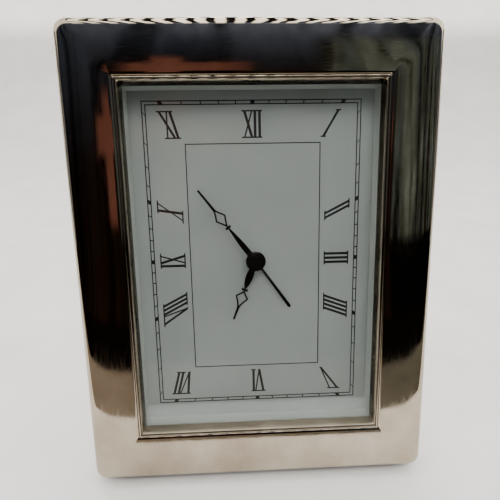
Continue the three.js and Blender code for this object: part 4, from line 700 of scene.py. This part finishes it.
def track_mark(degrees, width):
    """A mark across the minute track along its ray: a block at an hour, or a fine tick."""
    start, out, along = on_rectangle(degrees, np.array(TRACK_HALF) - TRACK_LINE / 2)
    depth = abs(start @ out)
    return bar(start * (1 - (TRACK_BAND - TRACK_LINE) / depth), start, along, width)


# Hour, letters in clockwise reading order, and how far the strokes run sideways for each
# millimetre inwards
NUMERALS = [
    (12, "XII", 0), (1, "I", 0.6), (2, "II", 0.5), (3, "III", 0), (4, "IIII", 0.37), (5, "V", 0.59),
    (6, "VI", 0), (7, "VII", 0.26), (8, "VIII", 0.52), (9, "IX", 0), (10, "X", 0.44), (11, "XI", 0.3),
]
ADVANCE = {"I": 1.65, "V": 3, "X": 3.3}
SPREAD = {"I": 0, "V": 1.6, "X": 1.4}


def letter_strokes(letter, middle):
    """Each stroke of a letter as its place at the inner end, at the outer end, and its width."""
    left, right = middle - SPREAD[letter], middle + SPREAD[letter]
    if letter == "I":
        return [(middle, middle, THICK_STROKE)]
    if letter == "V":
        return [(middle, left, THICK_STROKE), (middle, right, THIN_STROKE)]
    return [(right, left, THICK_STROKE), (left, right, THIN_STROKE)]


def numeral(hour, letters, slope):
    """A numeral with its top outwards, its strokes sheared towards the centre, and one fine serif
    line across each end of them."""
    half = np.array(TRACK_HALF) - TRACK_BAND - NUMERAL_MARGIN
    point, out, along = on_rectangle(30 * hour, half)
    lean = slope * np.sign(point @ along)
    start = -sum(ADVANCE[letter] for letter in letters) / 2
    strokes, inner_ends = [], []
    for letter in letters:
        added = letter_strokes(letter, start + ADVANCE[letter] / 2)
        start += ADVANCE[letter]
        strokes += added
        inner_ends += [stroke[0] for stroke in added if letter != "V"]

    def spot(across, height):
        """A place on the numeral, sheared by how far it lies inwards of its top."""
        inward = NUMERAL_HEIGHT - height
        return point - out * inward + along * (across - lean * inward)

    def serif(ends, low):
        """A fine line across the ends of strokes, from a height up."""
        first, last = min(ends) - SERIF_REACH, max(ends) + SERIF_REACH
        middle = (first + last) / 2
        return bar(spot(middle, low), spot(middle, low + SERIF_LINE), along, last - first, SERIF_INK)

    # Strokes of unequal width have unequal films, so that faces never share a plane where they cross
    bars = [bar(spot(inner, 0), spot(outer, NUMERAL_HEIGHT), along, width, INK * (0.94 + 0.1 * width))
            for inner, outer, width in strokes]
    bars.append(serif([stroke[1] for stroke in strokes], NUMERAL_HEIGHT - SERIF_LINE))
    if inner_ends:
        bars.append(serif(inner_ends, 0))
    return bars


def dial_print(material):
    """The minute track's two lines and its marks, the numerals, and the panel's thin line."""
    marks = [
        rectangle_line(TRACK_HALF, TRACK_LINE),
        rectangle_line(np.array(TRACK_HALF) - TRACK_BAND + TRACK_LINE, TRACK_LINE),
        rectangle_line(PANEL_HALF, PANEL_LINE),
    ]
    for minute in range(60):
        marks.append(track_mark(6 * minute, TICK_LINE if minute % 5 else BLOCK_WIDTH))
    for hour, letters, slope in NUMERALS:
        marks += numeral(hour, letters, slope)
    piece("dial_printing", joined(marks), material, "clock", "dial_plate")


# Hands

def ribbon(path, half, front, thickness=HAND_THICKNESS):
    """A stamped strip along a flat path. Across it, side and depth follow a squared-off ellipse,
    cosine and sine to the power 0.45, so that the face is flat and the edges are eased."""
    path = np.asarray(path, float)
    half = np.broadcast_to(half, len(path))[:, None, None]
    run = np.gradient(path, axis=0)
    run /= np.linalg.norm(run, axis=1)[:, None]
    side = np.column_stack([run[:, 1], -run[:, 0]])[:, None, :]
    angle = np.linspace(0, 2 * np.pi, 20, endpoint=False)
    across = (np.sign(np.cos(angle)) * np.abs(np.cos(angle)) ** 0.45)[None, :, None]
    rise = (np.sign(np.sin(angle)) * np.abs(np.sin(angle)) ** 0.45)[None, :, None]
    flat = path[:, None, :] + side * half * across
    depth = front + thickness / 2 + thickness / 2 * rise + 0 * flat[..., :1]
    return grid(np.concatenate([flat, depth], axis=-1), wrap_columns=True, caps=True)


def clock_turn(shape, degrees):
    """Turns a shape drawn pointing up to a clock angle."""
    points, faces = shape
    angle = math.radians(degrees)
    x = points[:, 0] * math.cos(angle) + points[:, 1] * math.sin(angle)
    z = -points[:, 0] * math.sin(angle) + points[:, 1] * math.cos(angle)
    return np.column_stack([x, z, points[:, 2]]), faces


def hub(front, hole):
    """A flat ring round the arbor, with eased edges."""
    back = front + HAND_THICKNESS
    ease = HAND_EASE
    return turned([
        [hole, back], [hole, front + ease], [hole + ease, front], [HUB_RADIUS - ease, front],
        [HUB_RADIUS, front + ease], [HUB_RADIUS, back - ease], [HUB_RADIUS - ease, back], [hole, back],
    ])


def leaf(widths, front):
    """The leaf-shaped foot of a hand: its half width is the one polynomial through the given
    (distance, half width) points."""
    widths = np.array(widths, float)
    curve = np.polyfit(widths[:, 0], widths[:, 1], len(widths) - 1)
    along = np.linspace(widths[0, 0], widths[-1, 0], 40)
    return ribbon(np.column_stack([0 * along, along]), np.polyval(curve, along), front)


def kite(base, wide, half, apex, front):
    """An open kite in two mirrored wires. Each runs out from the base in a slightly hollow line to
    the widest point, the share of the way to the power 1.15, and back to the apex in a hollow
    curve, the remaining share to the power 1.35."""
    lower = np.linspace(0, 1, 16)
    upper = np.linspace(0, 1, 22)[1:]
    out = (half - KITE_LINE / 2) * np.concatenate([lower ** 1.15, (1 - upper) ** 1.35])
    along = np.concatenate([base + (wide - base) * lower, wide + (apex - wide) * upper])
    return [ribbon(np.column_stack([side * out, along]), KITE_LINE / 2, front) for side in (-1, 1)]


def kite_hand(name, body, material, degrees, front, hole, widths, collar, corners, length):
    """Leaf, collar, open kite and needle, as the stamping die cuts them. The collar is given by its
    place and half width, and the kite by its base, its widest place, its half width there and its
    apex. The collar's half thickness swells with the squared cosine at its middle and ends."""
    base, wide, half, apex = corners
    start, collar_half = collar
    bead = np.linspace(-1, 1, 12)
    knot = ribbon(np.column_stack([collar_half * bead, start + 0 * bead]),
                  0.4 + 0.12 * np.cos(np.pi * bead) ** 2, front - HAND_EASE / 2, HAND_THICKNESS + HAND_EASE)
    stem = ribbon([[0, widths[-1][0] - KITE_LINE / 2], [0, base + KITE_LINE]], STEM_HALF, front)
    tip = np.linspace(0, 1, 14)
    joint = apex - 1.2 * KITE_LINE
    needle = ribbon(np.column_stack([0 * tip, joint + (length - joint) * tip]),
                    NEEDLE_HALF * (1 - 0.3 * tip), front)
    foot = [hub(front, hole), leaf(widths, front), knot, stem, needle]
    shape = joined(foot + kite(base, wide, half, apex, front))
    piece(name + "_stamping", clock_turn(shape, degrees), material, body, name)


def alarm_hand(material):
    """A plain arm that widens a little and narrows evenly over its blunt tip, where the points lie
    closer together towards the end, at the sines of even angles."""
    tip = ALARM_LENGTH + ALARM_TIP * np.sin(np.linspace(0.2, 1.57, 6))
    along = np.concatenate([np.linspace(0, ALARM_LENGTH, 12), tip])
    half = np.interp(along, [0, ALARM_LENGTH, ALARM_LENGTH + ALARM_TIP], [0.42, 0.65, 0.32])
    arm = ribbon(np.column_stack([0 * along, along]), half, ALARM_FRONT)
    shape = clock_turn(joined([hub(ALARM_FRONT, ALARM_HOLE), arm]), ALARM_DEGREES)
    piece("alarm_hand_stamping", shape, material, "alarm_hand_set", "alarm_hand")


def hand_cap(material):
    """A turned cap with the arbor's rounded end in its middle. Its face is a shallow dome, which
    falls away with the square of the radius."""
    radius = np.linspace(0, CAP_RADIUS - CAP_EDGE, 14)[::-1]
    face = np.column_stack([radius, CAP_FACE - CAP_DOME * (1 - (radius / CAP_RADIUS) ** 2)])
    rim = arc((CAP_RADIUS - CAP_EDGE, CAP_FACE + CAP_EDGE), CAP_EDGE, 0, -np.pi / 2, 8)
    face = face[1:][face[1:, 0] > ARBOR_HOLE]
    arbor_end = [[0.9, 7.2], [0.88, 7.06], [0.78, 7.0], [0.4, 6.98], [0, 6.97]]
    back = [[0, CAP_REAR], [CAP_RADIUS - CAP_CHAMFER, CAP_REAR], [CAP_RADIUS, CAP_REAR - CAP_CHAMFER]]
    profile = np.concatenate([back, rim, face, arbor_end])
    piece("hand_cap_turning", turned(profile), material, "minute_hand_set", "hand_cap")


def hands(material):
    """The three hands and their cap. Lengths are in millimetres, and degrees run clockwise from 12."""
    kite_hand("minute_hand", "minute_hand_set", material, degrees=322, front=8.6, hole=ARBOR_HOLE,
              widths=[(0, 1.05), (5, 1.1), (9, 0.95), (12.5, 0.65), (15.1, 0.4)],
              collar=(16.05, 1.1), corners=(16.7, 20.4, 2.25, 24.6), length=33.3)
    kite_hand("hour_hand", "hour_hand_set", material, degrees=201.3, front=9.8, hole=1.75,
              widths=[(0, 0.8), (3.5, 1.1), (6.5, 1.4), (9.5, 1.0), (11.2, 0.45)],
              collar=(11.95, 1.2), corners=(12.6, 15.1, 2.55, 19.6), length=24.3)
    alarm_hand(material)
    hand_cap(material)


# Screws, seen from behind

def screw(node, head, height, shank, length):
    """A round head with a slot. Its face is a dome over a disc cut in strips along the slot: to the
    edge's share of the height it adds the rest times the root of one minus 0.9 times the squared
    share of the radius, and over the slot it drops to a flat floor. A pointed shank follows below."""
    low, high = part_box(node)
    offset = ((np.array(low) + np.array(high)) / 2 - CENTRE) * 1000
    x, z = offset @ ACROSS, offset @ UP
    rear = offset @ INTO + CASE_FRONT + (length + height) / 2
    seat = rear - height
    edge = head * np.sin(np.linspace(SLOT_HALF, np.pi / 2, 12))
    strip = np.concatenate([-edge[::-1], edge])
    chord = np.sqrt(np.maximum(head ** 2 - strip ** 2, 0))[:, None]
    up = chord * np.sin(np.linspace(-np.pi / 2, np.pi / 2, 25))[None, :]
    across = strip[:, None] + 0 * up
    dome = np.sqrt(np.maximum(1 - 0.9 * (across ** 2 + up ** 2) / head ** 2, 0))
    crown = height * (FACE_EDGE + (1 - FACE_EDGE) * dome)
    rows = len(edge)
    up = np.insert(up, [rows, rows], up[rows - 1], axis=0)
    across = np.insert(across, [rows, rows], [across[rows - 1], across[rows]], axis=0)
    crown = np.insert(crown, [rows, rows], SLOT_FLOOR * height, axis=0)
    face = grid(np.stack([x + across, z + up, seat + crown], axis=-1))
    side = turned([
        [head, seat + RIM_HEIGHT * height], [head, seat], [shank, seat],
        [shank, seat - SHANK_STRAIGHT * length], [SHANK_TIP, seat - length],
    ], (x, z), 32)
    return joined([face, side])


def screws(material):
    """Each kind's name, count, head radius and height, shank radius and length."""
    kinds = [("board_screw", 4, 2.4, 1.2, 1.2, 9), ("movement_screw", 2, 2, 1, 1, 5),
             ("case_screw", 4, 1.7, 0.9, 0.7, 14)]
    for name, count, *sizes in kinds:
        for number in range(1, count + 1):
            node = f"{name}_{number}"
            piece(node + "_turning", screw(node, *sizes), material, nodes[node]["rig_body"], node,
                  sharp=50)


# Studio

def swept(name, line, half_width, material):
    """A sheet of studio paper or card: a line of (y, z) points in metres, swept along x."""
    line = np.asarray(line, float)
    x = np.linspace(-half_width, half_width, 3)[None, :]
    points = np.stack(np.broadcast_arrays(x, line[:, :1], line[:, 1:]), axis=-1)
    vertices, faces = grid(points)
    mesh = bpy.data.meshes.new(name)
    mesh.from_pydata(vertices.tolist(), [], faces)
    mesh.shade_smooth()
    mesh.materials.append(material)
    made = new_object(name, mesh)
    return made


def floor_and_backdrop():
    """A pale paper sweep: flat under and in front of the clock, then curving up behind it."""
    material, tree = begin("seamless_paper")
    mottle = add(tree, "TexNoise", {"Vector": laid(tree, 60), "Scale": 1.0, "Detail": 4})
    colour = add(tree, "ValToRGB", {"Fac": mottle}, ramp=[(0.3, "#e4e2e0"), (0.7, "#edebe9")])
    finish(tree, Base_Color=colour, Roughness=0.9)
    bend = np.linspace(0, np.pi / 2, 24)
    curve = np.column_stack([0.5 + 0.5 * np.sin(bend), 0.5 - 0.5 * np.cos(bend)])
    swept("sweep", np.concatenate([[[-4, 0]], curve, [[1, 3.5]]]), 4, material)


def room_colours():
    """The unlit room in front of the clock, placed in metres. The table is dark from 0.3 m on and
    pale nearer than that, more so on the left. The wall behind it is warm and dark, turns slate blue
    towards the ceiling, and has upright streaks, dimmer on the left and grey green on the right, and
    two warm patches left of the middle. Overhead and behind are the light and dark folds of a net
    curtain, which glows."""
    material, tree = begin("room_front")
    place = add(tree, "TexCoord").outputs["Object"]
    x, y, z = add(tree, "SeparateXYZ", {0: place}).outputs
    # Each zone starts at the first place and is whole at the second
    zones = {
        "rise": (z, 0, 1.6), "above sill": (z, 0.27, 0.3), "right": (x, 0.3, 0.36), "top": (z, 1.0, 1.3),
        "table": (z, 0.01, 0.002), "near": (y, -0.3, -0.27), "near right": (x, -0.1, 0.1),
        "overhead": (y, -1.02, -0.85),
    }
    zone = {name: add(tree, "MapRange", {"Value": value, "From Min": start, "From Max": end})
            for name, (value, start, end) in zones.items()}

    upright = add(tree, "Mapping", {"Vector": place, "Scale": (8, 1, 0.4)})
    streaks = add(tree, "TexNoise", {"Vector": upright, "Scale": 1.0, "Detail": 2})
    wall = add(tree, "ValToRGB", {"Fac": zone["rise"]}, ramp=[
        (0.0, "#2a1b12"), (0.35, "#251c18"), (0.5, "#30333d"), (0.75, "#5f6a81"), (1.0, "#8b98b1")])
    shade = add(tree, "ValToRGB", {"Fac": streaks}, ramp=[(0.4, "#7a7a7a"), (0.6, "#ffffff")])
    left = add(tree, "MapRange", {"Value": x, "From Min": -0.8, "From Max": -0.3, "To Min": 0.6})
    dimmed = add(tree, "VectorMath", {0: shade, 3: left}, operation="SCALE")
    streaked = add(tree, "Mix", {0: 1.0, 6: wall, 7: dimmed}, data_type="RGBA", blend_type="MULTIPLY")
    green = add(tree, "ValToRGB", {"Fac": streaks}, ramp=[
        (0.4, "#14130e"), (0.44, "#6c7b80"), (0.48, "#34341f"), (0.53, "#8b9894"), (0.57, "#231f13")])
    side = add(tree, "Mix", {0: zone["above sill"], 6: linear("#0a0807"), 7: green}, data_type="RGBA")
    layers = [(zone["right"], side.outputs[2]), (zone["top"], streaked.outputs[2])]

    for middle_x, middle_z, half_x, half_z in ((-0.17, 0.69, 0.22, 0.07), (-0.24, 0.6, 0.055, 0.24)):
        patch = add(tree, "Mapping", {
            "Vector": place, "Location": (-middle_x / half_x, 0, -middle_z / half_z),
            "Scale": (1 / half_x, 0, 1 / half_z)})
        apart = add(tree, "VectorMath", {0: patch}, operation="ABSOLUTE")
        sides = add(tree, "SeparateXYZ", {0: apart}).outputs
        reach = add(tree, "Math", {0: sides[0], 1: sides[2]}, operation="MAXIMUM")
        glow = add(tree, "MapRange", {"Value": reach, "From Min": 1.15, "From Max": 0.9})
        layers.append((glow, linear("#805347")))

    cloth = add(tree, "Mix", {
        0: zone["near right"], 6: linear("#b3a493"), 7: linear("#7d7a6e")}, data_type="RGBA")
    table = add(tree, "Mix", {0: zone["near"], 6: linear("#0d0907"), 7: cloth.outputs[2]}, data_type="RGBA")
    folds = add(tree, "TexWave", {"Vector": place, "Scale": 4.6, "Distortion": 0.8, "Detail Scale": 2.0})
    net = add(tree, "ValToRGB", {"Fac": folds.outputs["Fac"]}, ramp=[(0.45, "#0c0c0b"), (0.55, "#fffdf6")])
    seen = add(tree, "Math", {0: zone["overhead"], 1: zone["above sill"]}, operation="MULTIPLY")
    layers += [(zone["table"], table.outputs[2]), (seen, net)]

    colour = streaked.outputs[2]
    for share, cover in layers:
        colour = add(tree, "Mix", {0: share, 6: colour, 7: cover}, data_type="RGBA").outputs[2]
    strength = add(tree, "Math", {0: seen, 1: 4.0, 2: 1.0}, operation="MULTIPLY_ADD")
    light = add(tree, "Emission", {"Color": colour, "Strength": strength})
    add(tree, "OutputMaterial", {"Surface": light})
    return material


def room():
    """What the silver mirrors, in one bent sheet: a table just over the paper, a wall, a ceiling, and
    a net curtain that hangs down behind the clock. Only reflections and bounced light see it."""
    over_paper = 0.0008
    bend = np.linspace(0, np.pi / 2, 16)
    table = [[-0.125, over_paper], [-0.6, over_paper]]
    wall = np.column_stack([-1.0 - 0.3 * np.sin(bend), over_paper + 0.3 - 0.3 * np.cos(bend)])
    ceiling = np.column_stack([-0.7 - 0.6 * np.cos(bend), 0.9 + 0.6 * np.sin(bend)])
    behind = np.column_stack([0.4 + 0.5 * np.sin(bend), 1.0 + 0.5 * np.cos(bend)])
    line = np.concatenate([table, wall, ceiling, behind, [[0.9, 0.3]]])
    made = swept("room_front", line, 3.2, room_colours())
    made.visible_camera = False
    made.visible_shadow = False


def lamp(name, place, aim, size, watts, colour):
    """A square soft light at a place in metres, turned towards another, that nothing mirrors."""
    light = bpy.data.lights.new(name, "AREA")
    light.shape = "SQUARE"
    light.size = size
    light.energy = watts
    light.color = linear(colour)[:3]
    made = new_object(name, light)
    made.location = place
    made.rotation_euler = (Vector(aim) - Vector(place)).to_track_quat("-Z", "Y").to_euler()
    made.visible_glossy = False


def studio():
    """Paper sweep, mirrored room, three soft lamps and an even pale sky."""
    floor_and_backdrop()
    room()
    lamp("overhead", place=(0.05, -0.4, 0.56), aim=(0, 0, 0.05), size=0.25, watts=2.7, colour="#fffaf4")
    lamp("window", place=(-0.1, 0.2, 0.7), aim=(0, -0.05, 0), size=0.4, watts=0.8, colour="#f6f8ff")
    lamp("backdrop_light", place=(0, 0.5, 0.9), aim=(0, 0.8, 0.2), size=0.5, watts=0.4, colour="#fff6ea")
    world = bpy.data.worlds.new("studio")
    bpy.context.scene.world = world
    world.use_nodes = True
    world.node_tree.nodes.clear()
    sky = add(world.node_tree, "Background", {"Color": linear("#e9eaec"), "Strength": 0.4})
    add(world.node_tree, "OutputWorld", {"Surface": sky})


# Assembly

def paint(material, *names):
    """Gives CAD pieces a material, keeping their shapes."""
    for name in names:
        mesh = nodes[name].data
        mesh.materials.clear()
        mesh.materials.append(material)


photograph_camera()
studio()

card = mount_board()
ink = pad_printing_ink()
lacquer = black_lacquer()
board_wood = stained_mahogany("stained_mahogany_board", LEAN)
strut_wood = stained_mahogany("stained_mahogany_strut", -LEAN)
brass = drawn_metal("rolled_brass", "#b08b45", "#cfa95c", (6, 0.2, 0.2), 0.22, 0.42)
steel = drawn_metal("bright_steel", "#a6a8ab", "#c2c4c6", (0.3, 0.3, 4), 0.2, 0.4)
abs_plastic = moulded_plastic("black_abs", "#141416", "#1d1d20", 0.42, 0.62, 0.4)
acetal = moulded_plastic("white_acetal", "#dedace", "#ebe8df", 0.35, 0.5, 0.8)
resin = moulded_plastic("potting_resin", "#08080a", "#141416", 0.12, 0.3, 1.5)

silver_frame()
dial_plate(lacquered_dial())
dial_print(ink)
hands(lacquer)
screws(brass)

softened("back_board", 0.5, board_wood)
softened("strut", 0.5, strut_wood)
for node, width in (("movement_front_case", 0.3), ("movement_rear_case", 0.4), ("battery_door", 0.25),
                    ("alarm_switch", 0.25), ("time_knob", 0.15), ("alarm_knob", 0.15)):
    softened(node, width, abs_plastic)
for node in ("hinge_fixed_leaf", "hinge_strut_leaf"):
    softened(node, 0.12, brass)

paint(float_glass(), "window_glass")
paint(card, "spacer_frame")
paint(board_wood, "wood_former")
paint(brass, "minute_arbor", "centre_wheel", "flat_contact", "spring_contact", "buzzer",
      *[f"{name}_screw_{number}" for name in ("hinge", "strut") for number in (1, 2)])
paint(steel, "stator", "coil_core", "rotor", "crystal", "hinge_pin")
paint(acetal, "middle_plate", "train_bridge", "hour_wheel", "alarm_wheel", "motion_wheel", "third_wheel",
      "seconds_wheel", "intermediate_wheel", "coil_bobbin")
paint(wound_wire(), "coil_winding")
paint(circuit_laminate(), "circuit_board")
paint(resin, "chip")
paint(cell_sleeve(), "battery")
